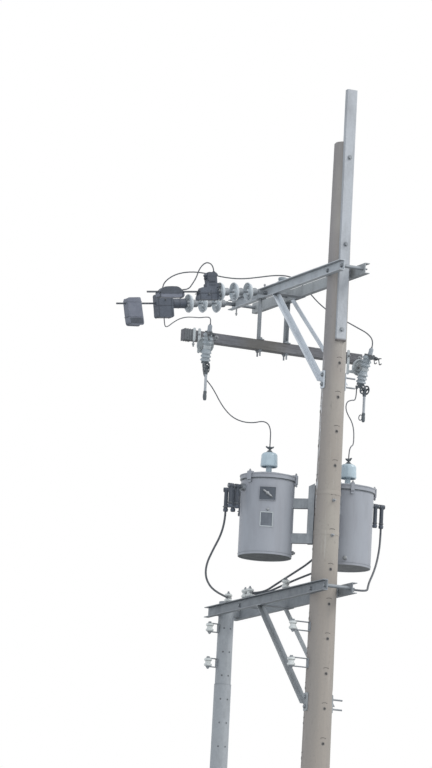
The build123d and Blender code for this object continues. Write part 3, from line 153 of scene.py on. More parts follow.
class Finish:
    """Node material whose colour, roughness and bump are put together step by step."""

    def __init__(self, name, color, roughness, metallic=0.0, coat=0.0):
        self.material = bpy.data.materials.new(name)
        self.material.use_nodes = True
        self.tree = self.material.node_tree
        self.shader = self.tree.nodes["Principled BSDF"]
        for key, value in (("Metallic", metallic), ("Coat Weight", coat), ("Roughness", roughness)):
            self.shader.inputs[key].default_value = value
        self.place = new_node(self.tree, "TexCoord").outputs["Object"]
        self.color = new_node(self.tree, "RGB").outputs[0]
        self.color.default_value = (*color, 1)
        self.height = None

    def value(self, kind, inputs, operation=None, output=0):
        """Output of a new node in this material."""
        return new_node(self.tree, kind, inputs, operation).outputs[output]

    def stretched(self, scale):
        """Object coordinates scaled by one number, or by three."""
        scales = (scale,) * 3 if isinstance(scale, int) else scale
        return self.value("Mapping", {"Scale": scales, "Vector": self.place})

    def noise(self, scale, detail=4.0, roughness=0.6):
        """Noise over the surface, between zero and one."""
        inputs = {"Scale": 1.0, "Detail": detail, "Roughness": roughness}
        inputs["Vector"] = self.stretched(scale)
        return self.value("TexNoise", inputs, output="Fac")

    def cells(self, scale):
        """Irregular patches, each with its own grey, as in zinc spangle."""
        inputs = {"Scale": 1.0, "Vector": self.stretched(scale)}
        return self.value("SeparateColor", {0: self.value("TexVoronoi", inputs, output="Color")})

    def limits(self, value, low, high):
        """Value spread so that low becomes zero and high becomes one."""
        return self.value("MapRange", {"From Min": low, "From Max": high, "Value": value})

    def tint(self, mask, color, amount=1.0):
        """Mixes another colour in where the mask is high."""
        mix = new_node(self.tree, "Mix")
        mix.data_type = "RGBA"
        mix.inputs[7].default_value = (*color, 1)
        share = self.value("Math", {0: mask, 1: amount}, "MULTIPLY")
        self.tree.links.new(share, mix.inputs[0])
        self.tree.links.new(self.color, mix.inputs[6])
        self.color = mix.outputs[2]
        return self

    def stain(self, mask, low, high, color, amount):
        """Another colour where the mask lies above a band of values."""
        return self.tint(self.limits(mask, low, high), color, amount)

    def rough(self, mask, low, high):
        """Roughness that follows a mask."""
        spread = self.value("MapRange", {"To Min": low, "To Max": high, "Value": mask})
        self.tree.links.new(spread, self.shader.inputs["Roughness"])
        return self

    def bump(self, mask, distance):
        """Relief of a given depth."""
        inputs = {"Distance": distance, "Height": mask}
        if self.height is not None:
            inputs["Normal"] = self.height
        self.height = self.value("Bump", inputs)
        return self

    def facing(self, direction, low, high):
        """Mask of the faces that look one way."""
        normal = self.value("NewGeometry", {}, output="Normal")
        dot = self.value("VectorMath", {0: normal, 1: direction}, "DOT_PRODUCT", "Value")
        return self.limits(dot, low, high)

    def between(self, axis, low, high):
        """Mask that rises from zero at low to one at high along one axis."""
        split = self.value("SeparateXYZ", {0: self.place}, output=axis)
        return self.limits(split, low, high)

    def both(self, first, second):
        """Product of two masks."""
        return self.value("Math", {0: first, 1: second}, "MULTIPLY")

    def painted_underside_shade(self, color, amount=0.85):
        """Painted shade: a darker colour mixed in on the faces that look down."""
        return self.tint(self.facing((0, 0, -1), 0.15, 0.85), color, amount)

    def done(self):
        """Finished material."""
        self.tree.links.new(self.color, self.shader.inputs["Base Color"])
        if self.height is not None:
            self.tree.links.new(self.height, self.shader.inputs["Normal"])
        return self.material


def concrete():
    """Spun concrete: pits, pour lines, rain streaks, dark blots, and painted shade on the side away
    from the light, deeper towards the top.
    """
    finish = Finish("concrete", (0.335, 0.3, 0.27), 0.92)
    streaks = finish.noise((9, 9, 0.5), 5)
    finish.stain(streaks, 0.42, 0.7, (0.27, 0.255, 0.24), 0.7)
    finish.stain(finish.noise((3, 3, 1.1), 3), 0.5, 0.7, (0.41, 0.385, 0.34), 0.6)
    # Painted shade: faces turned towards -Y darken and go purple, and more so from 8.7 m up to 9.7
    # m.
    shade = finish.facing((-0.35, -0.94, 0), 0.1, 1.0)
    finish.tint(shade, (0.29, 0.272, 0.28), 0.35)
    finish.tint(finish.both(shade, finish.between("Z", 8.7, 9.7)), (0.25, 0.24, 0.25), 0.4)
    finish.tint(finish.between("Z", 9.6, 8.6), (0.355, 0.308, 0.255), 0.3)
    drips = finish.noise((40, 40, 1.6), 4, 0.7)
    finish.stain(drips, 0.63, 0.7, (0.5, 0.48, 0.44), 0.35)
    chalk = finish.both(finish.between("Z", 8.0, 8.3), finish.between("Z", 9.6, 9.4))
    chalk = finish.both(chalk, finish.facing((-0.174, -0.985, 0), 0.955, 0.985))
    flecks = finish.limits(finish.noise((55, 55, 14), 3, 0.6), 0.5, 0.56)
    finish.tint(finish.both(chalk, flecks), (0.72, 0.72, 0.72), 0.9)
    grain = finish.noise(60, 6, 0.7)
    finish.stain(grain, 0.55, 0.75, (0.2, 0.19, 0.175), 0.45)
    blots = finish.noise((22, 22, 9), 4, 0.6)
    finish.stain(blots, 0.64, 0.72, (0.17, 0.16, 0.15), 0.45)
    return finish.bump(grain, 0.002).bump(finish.noise((8, 8, 2), 3), 0.004).done()


def zinc(name, color, light, dirt_and_shade_color, metallic=0.35, shadow_foot=None):
    """Dull weathered zinc with faint spangle, run marks, rust stains, painted shade on the
    undersides and, for some, a painted shadow at the foot.
    """
    finish = Finish(name, color, 0.6, metallic=metallic)
    finish.tint(finish.cells(70), light, 0.45)
    dirt = finish.noise((5, 5, 2), 6, 0.7)
    finish.stain(dirt, 0.48, 0.72, dirt_and_shade_color, 0.65)
    finish.stain(finish.noise((14, 14, 6), 5), 0.68, 0.8, (0.2, 0.14, 0.1), 0.4)
    # Painted shadow: a dark band over the last few centimetres above the given foot height.
    if shadow_foot:
        foot = finish.between("Z", shadow_foot + 0.03, shadow_foot + 0.008)
        finish.tint(foot, (0.07, 0.055, 0.05), 0.9)
    # Painted shade on the undersides, in a darker copy of the dirt colour.
    finish.painted_underside_shade(tuple(part * 0.45 for part in dirt_and_shade_color), 0.75)
    return finish.rough(dirt, 0.5, 0.8).bump(finish.noise(200, 2), 0.0006).done()


def timber():
    """Weathered timber with long grain along the crossarm."""
    finish = Finish("timber", (0.17, 0.168, 0.178), 0.88)
    grain = finish.noise((130, 4, 130), 6, 0.7)
    finish.stain(grain, 0.45, 0.65, (0.075, 0.073, 0.075), 0.75)
    finish.stain(finish.noise((9, 3, 9), 3), 0.45, 0.7, (0.23, 0.235, 0.25), 0.6)
    middle = finish.both(finish.between("Y", -0.42, -0.25), finish.between("Y", 0.2, -0.02))
    finish.tint(middle, (0.13, 0.118, 0.095), 0.6)
    # Painted shade on the undersides.
    finish.painted_underside_shade((0.07, 0.068, 0.066), 0.7)
    return finish.bump(grain, 0.003).done()


def tank_paint():
    """Grey tank paint, chalked and rain marked."""
    finish = Finish("tank_paint", (0.305, 0.315, 0.345), 0.5, coat=0.1)
    chalk = finish.noise((4, 4, 1.2), 5)
    finish.stain(chalk, 0.4, 0.7, (0.35, 0.37, 0.4), 0.6)
    streaks = finish.noise((12, 12, 2.0), 5, 0.6)
    finish.stain(streaks, 0.5, 0.75, (0.23, 0.235, 0.25), 0.45)
    drips = finish.noise((30, 30, 2.6), 4, 0.6)
    finish.stain(drips, 0.66, 0.76, (0.4, 0.4, 0.41), 0.3)
    # Painted shade on the undersides of the tanks.
    finish.painted_underside_shade((0.085, 0.095, 0.1), 0.95)
    return finish.rough(chalk, 0.4, 0.62).bump(finish.noise(90, 3), 0.0008).done()


def porcelain(name, color, dirt_and_shade_color, coat=0.3, underside_shade_amount=0.6):
    """Glazed porcelain with a film of dirt, and painted shade on the faces that look down."""
    finish = Finish(name, color, 0.26, coat=coat)
    film = finish.noise(16, 5, 0.65)
    finish.stain(film, 0.45, 0.75, dirt_and_shade_color, 0.55)
    # Painted shade on the faces that look down, such as the sheds' undersides.
    finish.painted_underside_shade(tuple(part * 0.5 for part in dirt_and_shade_color), underside_shade_amount)
    finish.rough(film, 0.42 - coat, 0.55 - coat / 2)
    return finish.bump(finish.noise(45, 2), 0.0006).done()


def polymer(name, color, faded, roughness=0.6):
    """Matt polymer, faded by the sun, with a fine moulded grain."""
    finish = Finish(name, color, roughness)
    fade = finish.noise(12, 5)
    finish.stain(fade, 0.42, 0.7, faded, 0.7)
    # Painted shade on the undersides.
    finish.painted_underside_shade(tuple(part * 0.4 for part in color), 0.7)
    return finish.rough(fade, 0.45, 0.75).bump(finish.noise(220, 2), 0.0008).done()


def casting():
    """Tarnished castings with worn edges."""
    finish = Finish("dark_casting", (0.108, 0.124, 0.137), 0.55, metallic=0.4)
    wear = finish.noise(40, 5)
    finish.stain(wear, 0.55, 0.75, (0.19, 0.205, 0.21), 0.6)
    return finish.bump(finish.noise(160, 4), 0.0015).done()


def fibre():
    """Grey painted fibre tube."""
    finish = Finish("fibre", (0.40, 0.42, 0.44), 0.5)
    film = finish.noise((30, 30, 8), 4)
    finish.stain(film, 0.45, 0.7, (0.28, 0.29, 0.3), 0.5)
    return finish.bump(finish.noise((120, 120, 900), 2), 0.0004).done()


def cable():
    """Black cable sheath, slightly dusty."""
    finish = Finish("cable", (0.07, 0.078, 0.09), 0.5)
    dust = finish.noise(50, 4)
    finish.stain(dust, 0.45, 0.7, (0.14, 0.145, 0.155), 0.6)
    return finish.bump(finish.noise(400, 2), 0.0004).done()


def floor_finish():
    """Pale studio floor."""
    finish = Finish("floor", (0.8, 0.8, 0.79), 0.9)
    return finish.tint(finish.noise(2, 3), (0.76, 0.76, 0.75), 0.5).done()


# Weathered zinc: colour, spangle, dirt (whose darker copy is the painted underside shade), and for
# some the metallic share and the height of a painted shadow at the foot
ZINCS = {
    "galvanised": ((0.27, 0.29, 0.31), (0.35, 0.37, 0.39), (0.17, 0.18, 0.19)),
    "steel_light": ((0.36, 0.38, 0.39), (0.44, 0.455, 0.47), (0.22, 0.23, 0.235)),
    # The upright channel: 9.67 is the height of the painted shadow at its foot
    "steel_upright": ((0.4, 0.42, 0.445), (0.48, 0.5, 0.53), (0.27, 0.275, 0.285), 0.3, 9.67),
    # Lighter copy as painted light on the cutout hoods; also the tank plate's rim
    "steel_pale": ((0.46, 0.49, 0.5), (0.53, 0.56, 0.57), (0.3, 0.32, 0.325), 0.2),
    "steel_post": ((0.335, 0.355, 0.375), (0.4, 0.42, 0.44), (0.24, 0.25, 0.26)),
    # Painted light: the next two are lighter copies of the zinc for the top arm's near channel and
    # braces
    "steel_arm": ((0.5, 0.53, 0.555), (0.58, 0.605, 0.63), (0.36, 0.375, 0.39), 0.2),
    "steel_brace": ((0.62, 0.655, 0.69), (0.7, 0.73, 0.76), (0.47, 0.49, 0.52), 0.15),
    "steel_bright": ((0.33, 0.34, 0.35), (0.42, 0.43, 0.44), (0.2, 0.2, 0.2)),
    "steel_dark": ((0.13, 0.14, 0.15), (0.19, 0.2, 0.21), (0.075, 0.08, 0.082)),
}
# Matt finishes: colour, faded colour, and for some the roughness
POLYMERS = {
    "concrete_dark": ((0.2, 0.19, 0.18), (0.27, 0.255, 0.235), 0.9),
    # Painted shade for the step sockets' holes and the arcs over them
    "dark_hole": ((0.035, 0.033, 0.032), (0.06, 0.055, 0.05), 0.9),
    "plate_dark": ((0.07, 0.082, 0.1), (0.1, 0.115, 0.135)),
    # Painted shade: the dark disc in the tanks' bottom recesses
    "bottom_dark": ((0.06, 0.067, 0.068), (0.085, 0.093, 0.095), 0.7),
    "plate_blank": ((0.15, 0.165, 0.19), (0.1, 0.112, 0.13), 0.45),
    "cement": ((0.3, 0.3, 0.29), (0.22, 0.22, 0.21), 0.95),
    "dark_cover": ((0.074, 0.086, 0.11), (0.11, 0.126, 0.155)),
    "cover_dark": ((0.055, 0.064, 0.08), (0.085, 0.097, 0.12)),
    "cover_faded": ((0.15, 0.162, 0.2), (0.2, 0.212, 0.25)),
    "cover_light": ((0.33, 0.355, 0.38), (0.26, 0.285, 0.31)),
}
# Glazed porcelain: colour, dirt (whose darker copy is the painted underside shade), and for some
# the coat and the strength of the painted shade underneath
PORCELAINS = {
    "porcelain_grey": ((0.34, 0.38, 0.405), (0.25, 0.27, 0.28), 0.12, 0.35),
    "porcelain_pale": ((0.46, 0.56, 0.61), (0.33, 0.395, 0.43)),
    "disc_pale": ((0.54, 0.58, 0.605), (0.4, 0.43, 0.455)),
    "porcelain_white": ((0.66, 0.68, 0.66), (0.4, 0.4, 0.37)),
}
finishes = {
    "concrete": concrete(),
    "timber": timber(),
    "tank_paint": tank_paint(),
    "dark_casting": casting(),
    "fibre": fibre(),
    "cable": cable(),
}
for make, table in ((zinc, ZINCS), (polymer, POLYMERS), (porcelain, PORCELAINS)):
    for finish_name, values in table.items():
        finishes[finish_name] = make(finish_name, *values)

# Finishes listed with one of the record's slots, a pairing that the loop makes and drops, and nodes
# with a finish of their own
for slot, finish_names in (
    ("porcelain_grey", ("porcelain_pale", "disc_pale", "cement")),
    ("concrete", ("concrete_dark", "dark_hole")),
    ("galvanised", [name for name in ZINCS if name != "galvanised"]),
    ("tank_paint", ("plate_dark", "plate_blank", "bottom_dark")),
    ("dark_cover", ("cover_dark", "cover_faded", "cover_light")),
):
    dict.fromkeys(finish_names, slot)
NODE_FINISHES = {
    "hv_bushings": "porcelain_pale",
    "top_extension_channel": "steel_upright",
    # Painted light: the top arm's braces and near channel get lighter copies of the zinc
    "top_arm_braces": "steel_brace",
    "top_arm_channel_near": "steel_arm",
    "top_arm_channel_far": "steel_light",
    "lower_arm_braces": "steel_light",
    "lower_arm_post": "steel_post",
    # Painted light: a lighter copy of the zinc on the cutout brackets
    "cutout_brackets": "steel_pale",
    "lv_boots": "cover_dark",
    "dead_end_discs": "disc_pale",
}


def dress_nodes():
    """Gives every CAD node the finish of its slot."""
    for part in frame["record"]["subparts"]:
        node = frame["nodes"][part["node"]]
        node.data.materials.clear()
        finish = NODE_FINISHES.get(part["node"], part["material_slot"])
        node.data.materials.append(finishes[finish])


# Cables: diameter, length, stiffness and the points that the line is drawn through
CORDS = {
    "line_loop_jumper": (0.012, 0.534, "limp", (
        (-1.3, -1.00539, 10.26156), (-1.3, -0.94594, 10.2696), (-1.3, -0.902, 10.338),
        (-1.3, -0.866, 10.405), (-1.3, -0.846, 10.475), (-1.3, -0.808, 10.535),
        (-1.3, -0.756, 10.568), (-1.3, -0.69486, 10.53967), (-1.3, -0.68709, 10.4822),
    )),
    "main_jumper": (0.012, 2.506, "medium", (
        (-2.0, -0.89519, 10.34205), (-2.0, -0.90389, 10.40646), (-1.975, -0.885, 10.48),
        (-1.905, -0.8, 10.55), (-1.835, -0.665, 10.578), (-1.77, -0.52, 10.564),
        (-1.705, -0.37, 10.535), (-1.64, -0.225, 10.53), (-1.57, -0.08, 10.555),
        (-1.5, 0.07, 10.586), (-1.445, 0.2, 10.586), (-1.395, 0.275, 10.535),
        (-1.34, 0.355, 10.44), (-1.285, 0.45, 10.32), (-1.22, 0.56, 10.225),
        (-1.145, 0.69, 10.15), (-1.08, 0.795, 10.085), (-1.03, 0.865, 10.04),
        (-0.98922, 0.91445, 9.96508), (-1.0121, 0.90938, 9.89701),
    )),
    "left_cutout_jumper": (0.01, 1.130, "limp", (
        (-2.0, -0.86504, 10.11908), (-2.0, -0.85901, 10.07449), (-1.965, -0.866, 10.025),
        (-1.89, -0.872, 10.01), (-1.77, -0.876, 10.03), (-1.64, -0.874, 10.046),
        (-1.5, -0.865, 10.044), (-1.36, -0.853, 10.022), (-1.23, -0.844, 9.996),
        (-1.105, -0.836, 9.985), (-1.025, -0.833, 9.968), (-0.99939, -0.8322, 9.93483),
        (-1.0121, -0.82938, 9.89701),
    )),
    "left_bushing_lead": (0.011, 1.387, "medium", (
        (-1.20972, -0.78557, 9.5166), (-1.20972, -0.78557, 9.4566), (-1.165, -0.77, 9.39),
        (-1.1, -0.745, 9.325), (-1.04, -0.722, 9.245), (-0.975, -0.706, 9.16),
        (-0.9, -0.68, 9.072), (-0.815, -0.64, 8.992), (-0.715, -0.585, 8.942),
        (-0.61, -0.52, 8.924), (-0.5, -0.468, 8.935), (-0.42, -0.445, 8.895),
        (-0.365, -0.449, 8.815), (-0.34604, -0.45922, 8.74), (-0.34604, -0.45922, 8.672),
    )),
    "right_bushing_lead": (0.011, 1.345, "medium", (
        (-1.20972, 0.86557, 9.5166), (-1.20972, 0.86557, 9.4526), (-1.165, 0.83, 9.392),
        (-1.085, 0.755, 9.375), (-1.03, 0.675, 9.34), (-0.965, 0.632, 9.26),
        (-0.88, 0.618, 9.18), (-0.78, 0.61, 9.105), (-0.69, 0.59, 9.01),
        (-0.6, 0.55, 8.905), (-0.51, 0.5, 8.822), (-0.435, 0.437, 8.792),
        (-0.40659, 0.40659, 8.735), (-0.40659, 0.40659, 8.672),
    )),
    "right_tank_cable": (0.02, 1.297, "medium", (
        (-0.44097, 0.79959, 8.055), (-0.44097, 0.79959, 7.96), (-0.385, 0.765, 7.835),
        (-0.29, 0.695, 7.69), (-0.17, 0.6, 7.56), (-0.02, 0.485, 7.45),
        (0.097, 0.412, 7.378), (0.207, 0.352, 7.33), (0.245, 0.26993, 7.315),
        (0.245, 0.18993, 7.315),
    )),
    "left_tank_cable": (0.02, 1.620, "medium", (
        (-0.58346, -0.77428, 8.055), (-0.58346, -0.77428, 7.965), (-0.64, -0.78, 7.83),
        (-0.78, -0.79, 7.7), (-0.95, -0.77, 7.59), (-1.13, -0.69, 7.5),
        (-1.3, -0.56, 7.44), (-1.45, -0.42, 7.418), (-1.58, -0.29, 7.412),
        (-1.70021, -0.17402, 7.412),
    )),
    "upper_crossing_cable": (0.02, 1.033, "medium", (
        (-0.79959, 0.44097, 8.055), (-0.79959, 0.44097, 7.96), (-0.84, 0.395, 7.84),
        (-0.905, 0.29, 7.71), (-0.985, 0.165, 7.605), (-1.075, 0.04, 7.5),
        (-1.16, -0.057, 7.412), (-1.23139, -0.13468, 7.412),
    )),
    "lower_crossing_cable": (0.02, 1.313, "medium", (
        (-0.68554, 0.68554, 8.055), (-0.68554, 0.68554, 7.95), (-0.735, 0.61, 7.82),
        (-0.815, 0.49, 7.71), (-0.9, 0.36, 7.63), (-1.01, 0.235, 7.565),
        (-1.125, 0.11, 7.49), (-1.215, 0.01, 7.428), (-1.275, -0.065, 7.412),
        (-1.33239, -0.13381, 7.412),
    )),
}


def add_cord(node, diameter, length, stiffness, points):
    """Cable drawn as one smooth line, in place of its CAD tube."""
    data = bpy.data.curves.new(node + "_sheath", "CURVE")
    data.dimensions = "3D"
    data.bevel_depth = diameter / 2
    data.bevel_resolution = 4
    data.resolution_u = 14
    data.use_fill_caps = True
    spline = data.splines.new("NURBS")
    spline.points.add(len(points) - 1)
    for target, point in zip(spline.points, points):
        target.co = (*point, 1)
    spline.order_u = 3
    spline.use_endpoint_u = True
    cord = placed(node + "_sheath", data)
    data.materials.append(finishes["cable"])
    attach(cord, "structure")
    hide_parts(node)


# Pole, with its step sockets in two staggered columns: direction and drop
POLE_BASE_RADIUS = 0.1725
POLE_TAPER = 0.006681
SOCKET_TOP = 9.461
SOCKET_PITCH = 0.3265
SOCKET_COUNT = 24
SOCKET_COLUMNS = ((1, 0), (-105, 0.131))
SOCKET_BOLT_LEVELS = (8.154, 7.824)
BAND_LEVELS = (7.85, 8.23)
BAND_WIDTH = 0.044

# Tanks, standing round the pole at these angles
TANK_RADIUS = 0.2525
TANK_OFFSET = 0.575
TANK_BOTTOM = 7.615
TANK_HEIGHT = 0.755
TANK_ANGLES = {"left": 233, "right": 135}
CLAMP_TURNS = {"left": (60, 180, 300), "right": (60, 180, 209, 300)}
STUD_TURNS = {"left": -75, "right": 176}
FITTINGS_TURN = 101
WING_TURNS = {"left": 20, "right": 65}
BELL_TOP = 8.610
BOOT_LEVEL = 8.055
BUSHING_TURNS = (-40, 0, 40)
BOOT_PLACES = (0.072, 0.142)

# Outer steel post
POST_PLACE = -2.07
POST_TOP = 7.425
POST_TOP_RADIUS = 0.075
POST_SPREAD = 0.023
POST_LAPS = (6.62, 3.35)
POST_LAP_STEP = 0.005
PLUG_TURNS = (-36, 14)
PLUG_TOP = 7.16
PLUG_PITCH = 0.23
PLUG_COUNT = 25
ANCHOR_CIRCLE = 0.138

# Timber crossarm
CROSSARM_PLACE = -1.345
CROSSARM_LEVEL = 9.837
CROSSARM_HALF_WIDTH = 0.0425
CROSSARM_BOLTS = (-0.62, 0.60, 0.93)

# Fuse cutouts: X, Y and turn of each foot, the lean, and the hinge's place on them
CUTOUT_FEET = {"left": (-1.3025, -0.765, -12.5), "right": (-1.3025, 0.845, 12.5)}
CUTOUT_LEVEL = 9.700
CUTOUT_REACH = 0.200
CUTOUT_LEAN = 19
PORCELAIN_END = 0.140
CONTACT_HALF_WIDTH = 0.023
HINGE_ALONG = -0.190
HINGE_OUT = 0.084
HOLDER_TUBE_RADIUS = 0.0128

# Spools on the lower arm
SPOOL_LEVEL = 7.412
SPOOL_ROW = -0.151
SPOOL_PLACES = (-0.487, -1.250, -1.350, -1.720)

# Insulator strings and their droop
INNER_STRING = -1.3
OUTER_STRING = -2.0
STRING_PIN = 0.202
STRING_LEVEL = 10.350
STRING_DROOP = 7.7
FIRST_DISC = 0.318
DISC_PITCH = 0.150
DISC_COUNT = 3

# Neck of the post insulator on the far channel
INSULATOR_NECK = (-1.460, 0.178, 10.537)


def at(x, y, z, turn=0.0, tilt=0.0):
    """Frame at a point, turned about the vertical and then tilted about its own Y."""
    place = Matrix.Translation((x, y, z))
    return place @ spin("Z", turn) @ spin("Y", tilt)


def pole_radius(height):
    """Radius of the concrete pole at a height."""
    return POLE_BASE_RADIUS - POLE_TAPER * height


def outward(frame, angle, radius, height):
    """Frame on a round wall whose own Z points out and own X points down."""
    return frame @ at(0, 0, height, angle) @ at(radius, 0, 0, 0, 90)


def polar(radius, turn, height):
    """Point beside the Z axis, turned about it by an angle in radians."""
    return Vector((radius * math.cos(turn), radius * math.sin(turn), height))


def ring_points(frame, radius, height, steps):
    """Points round a circle in a frame."""
    turns = [math.radians(360.0 * number / steps) for number in range(steps)]
    return [frame @ polar(radius, turn, height) for turn in turns]


class Shape:
    """Mesh put together from turned, extruded and swept forms."""

    def __init__(self):
        self.mesh = bmesh.new()

    def skin(self, rings, capped=True):
        """Surface over rings of points that are equally long."""
        rows = [[self.mesh.verts.new(point) for point in ring] for ring in rings]
        for row, other in zip(rows, rows[1:]):
            for number in range(len(row)):
                after = (number + 1) % len(row)
                self.mesh.faces.new((row[number], row[after], other[after], other[number]))
        if capped:
            self.mesh.faces.new(rows[0][::-1])
            self.mesh.faces.new(rows[-1])

    def turned(self, frame, outline, steps=24):
        """Form turned round the frame's Z from pairs of radius and height."""
        self.skin([ring_points(frame, radius, height, steps) for radius, height in outline])

    def rod(self, frame, radius, low, high, steps=12):
        """Straight bar along the frame's Z."""
        self.turned(frame, ((radius, low), (radius, high)), steps)

    def prism(self, frame, outline, low, high):
        """Outline in the frame's XY plane, drawn out along its Z."""
        self.skin([[frame @ Vector((x, y, level)) for x, y in outline] for level in (low, high)])

    def box(self, frame, x_range, y_range, z_range):
        """Block between three pairs of limits."""
        low_x, high_x = x_range
        low_y, high_y = y_range
        corners = ((low_x, low_y), (high_x, low_y), (high_x, high_y), (low_x, high_y))
        self.prism(frame, corners, *z_range)

    def bolt(self, frame, across, height, washer=0.0):
        """Hexagon head with a domed top, on a washer."""
        base = 0.0
        if washer:
            base = 0.003
            self.rod(frame, washer, 0, base, 20)
        self.rod(frame, across / 2, base, base + height, 6)
        top = base + height
        self.turned(frame, ((across * 0.36, top), (across * 0.2, top + 0.004)), 12)

    def swept(self, points, radius, sides=10, closed=False):
        """Round bar along a line of points."""
        points = [Vector(point) for point in points]
        count = len(points)
        rings = []
        normal = None
        for number, point in enumerate(points):
            before = points[number - 1] if closed or number else point
            after = points[(number + 1) % count] if closed or number < count - 1 else point
            along = (after - before).normalized()
            if normal is None:
                normal = along.orthogonal()
            normal = (normal - along * normal.dot(along)).normalized()
            across = along.cross(normal)
            ring = []
            for side in range(sides):
                angle = math.tau * side / sides
                ring.append(point + (normal * math.cos(angle) + across * math.sin(angle)) * radius)
            rings.append(ring)
        if closed:
            rings.append(rings[0])
        self.skin(rings, capped=not closed)
        if closed:
            bmesh.ops.remove_doubles(self.mesh, verts=self.mesh.verts, dist=1e-6)

    def hoop(self, frame, radius, level, bar, sides=8, steps=28):
        """Closed ring of round bar about the frame's Z."""
        self.swept(ring_points(frame, radius, level, steps), bar, sides, True)

    def curved_plate(self, frame, radius, thickness, half_angle, z_range, steps=8):
        """Plate that follows a round wall."""
        low, high = z_range
        outer = radius + thickness
        outline = ((radius, low), (outer, low), (outer, high), (radius, high))
        rings = []
        for number in range(steps + 1):
            turn = math.radians(half_angle * (2 * number / steps - 1))
            rings.append([frame @ polar(reach, turn, level) for reach, level in outline])
        self.skin(rings)

    def done(self, name, finish, body="structure", replaces=(), bevel=0.001):
        """Named piece with its finish, soft edges and body."""
        bmesh.ops.recalc_face_normals(self.mesh, faces=self.mesh.faces)
        data = bpy.data.meshes.new(name)
        self.mesh.to_mesh(data)
        self.mesh.free()
        data.polygons.foreach_set("use_smooth", [True] * len(data.polygons))
        data.set_sharp_from_angle(angle=math.radians(35))
        data.materials.append(finishes[finish])
        piece = placed(name, data)
        if bevel:
            edge = piece.modifiers.new("edges", "BEVEL")
            edge.width = bevel
            edge.segments = 2
            edge.limit_method = "ANGLE"
            edge.angle_limit = math.radians(40)
        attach(piece, body)
        for node in replaces:
            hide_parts(node)
        return piece


def add_step_sockets():
    """Cast-in step sockets up the pole, painted shade as a dark disc in each hole and a dark arc
    over each, and two bolts left in them.
    """
    rims, shades = Shape(), Shape()
    for angle, drop in SOCKET_COLUMNS:
        for number in range(SOCKET_COUNT):
            height = SOCKET_TOP - drop - SOCKET_PITCH * number
            place = outward(Matrix(), angle, pole_radius(height) - 0.003, height)
            rims.turned(place, ((0.017, 0), (0.016, 0.0045), (0.012, 0.005), (0.011, 0.002)), 20)
            # Painted shade: a dark disc standing in the socket's hole.
            shades.turned(place, ((0.0112, 0), (0.0112, 0.0036), (0.006, 0.0032)), 16)
            # Painted shadow: a thin dark arc just over the socket.
            arc = []
            for step in range(9):
                share = step / 4 - 1
                rise = height + 0.056 - 0.007 * share * share
                turn = math.radians(angle) + share * 0.029 / pole_radius(rise)
                arc.append(polar(pole_radius(rise) - 0.0006, turn, rise))
            shades.swept(arc, 0.0021, 6)
    stubs = Shape()
    for height in SOCKET_BOLT_LEVELS:
        place = outward(Matrix(), SOCKET_COLUMNS[0][0], pole_radius(height) - 0.002, height)
        stubs.turned(place, ((0.0095, 0), (0.0095, 0.034), (0.0075, 0.037)), 14)
        stubs.bolt(place @ at(0, 0, 0.004), 0.026, 0.009, 0.016)
    stubs.done("socket_bolts", "steel_bright")
    rims.done("step_socket_rims", "concrete_dark")
    shades.done("step_socket_shades", "dark_hole", bevel=0)


def tank_frame(side):
    """Frame at the middle of a tank's foot, whose own X points away from the pole."""
    angle = TANK_ANGLES[side]
    return at(*polar(TANK_OFFSET, math.radians(angle), TANK_BOTTOM), angle)


def add_tank_details():
    """Weld beads, painted shade as a dark disc in each tank's bottom recess, lid clamps with their
    bolts, ground studs and drain plugs.
    """
    bottom_shades = Shape()
    for side in TANK_ANGLES:
        frame = tank_frame(side)
        # Painted shade: a dark disc just inside the skirt closes each tank's bottom recess.
        bottom_shades.turned(frame, ((0.2432, 0.003), (0.2432, 0.006), (0.05, 0.008)), 48)
        welds = Shape()
        for height in (0.024, TANK_HEIGHT - 0.046):
            welds.hoop(frame, TANK_RADIUS + 0.0005, height, 0.003, steps=48)
        seam = [frame @ Vector((-TANK_RADIUS, 0, z)) for z in (0.03, 0.7)]
        welds.swept(seam, 0.0022, 8)
        welds.done(side + "_tank_welds", "tank_paint", bevel=0)
        steel, clamps = Shape(), Shape()
        for turn in CLAMP_TURNS[side]:
            place = frame @ at(0, 0, TANK_HEIGHT, turn) @ at(TANK_RADIUS, 0, 0)
            clamps.box(place, (0.012, 0.024), (-0.017, 0.017), (-0.082, 0.024))
            clamps.box(place, (-0.022, 0.024), (-0.017, 0.017), (0.0165, 0.027))
            clamps.box(place, (0.0, 0.024), (-0.014, 0.014), (-0.066, -0.048))
            steel.rod(place @ at(0.012, 0, 0), 0.006, -0.074, 0.046)
            steel.bolt(place @ at(0.012, 0, 0.027), 0.021, 0.012)
            steel.rod(place @ at(0.012, 0, 0), 0.0105, -0.078, -0.066, 6)
        stud = outward(frame, STUD_TURNS[side], TANK_RADIUS - 0.002, 0.10)
        steel.turned(stud, ((0.015, 0), (0.015, 0.008), (0.011, 0.012)), 20)
        steel.bolt(stud @ at(0, 0, 0.010), 0.016, 0.010)
        plug = outward(frame, 200, TANK_RADIUS - 0.002, 0.06)
        steel.turned(plug, ((0.02, 0), (0.02, 0.02), (0.015, 0.024)), 20)
        steel.rod(plug, 0.011, 0.02, 0.036, 6)
        clamps.done(side + "_lid_clamps", "tank_paint")
        steel.done(side + "_tank_bolts", "steel_bright")
    bottom_shades.done("tank_bottom_shades", "bottom_dark")


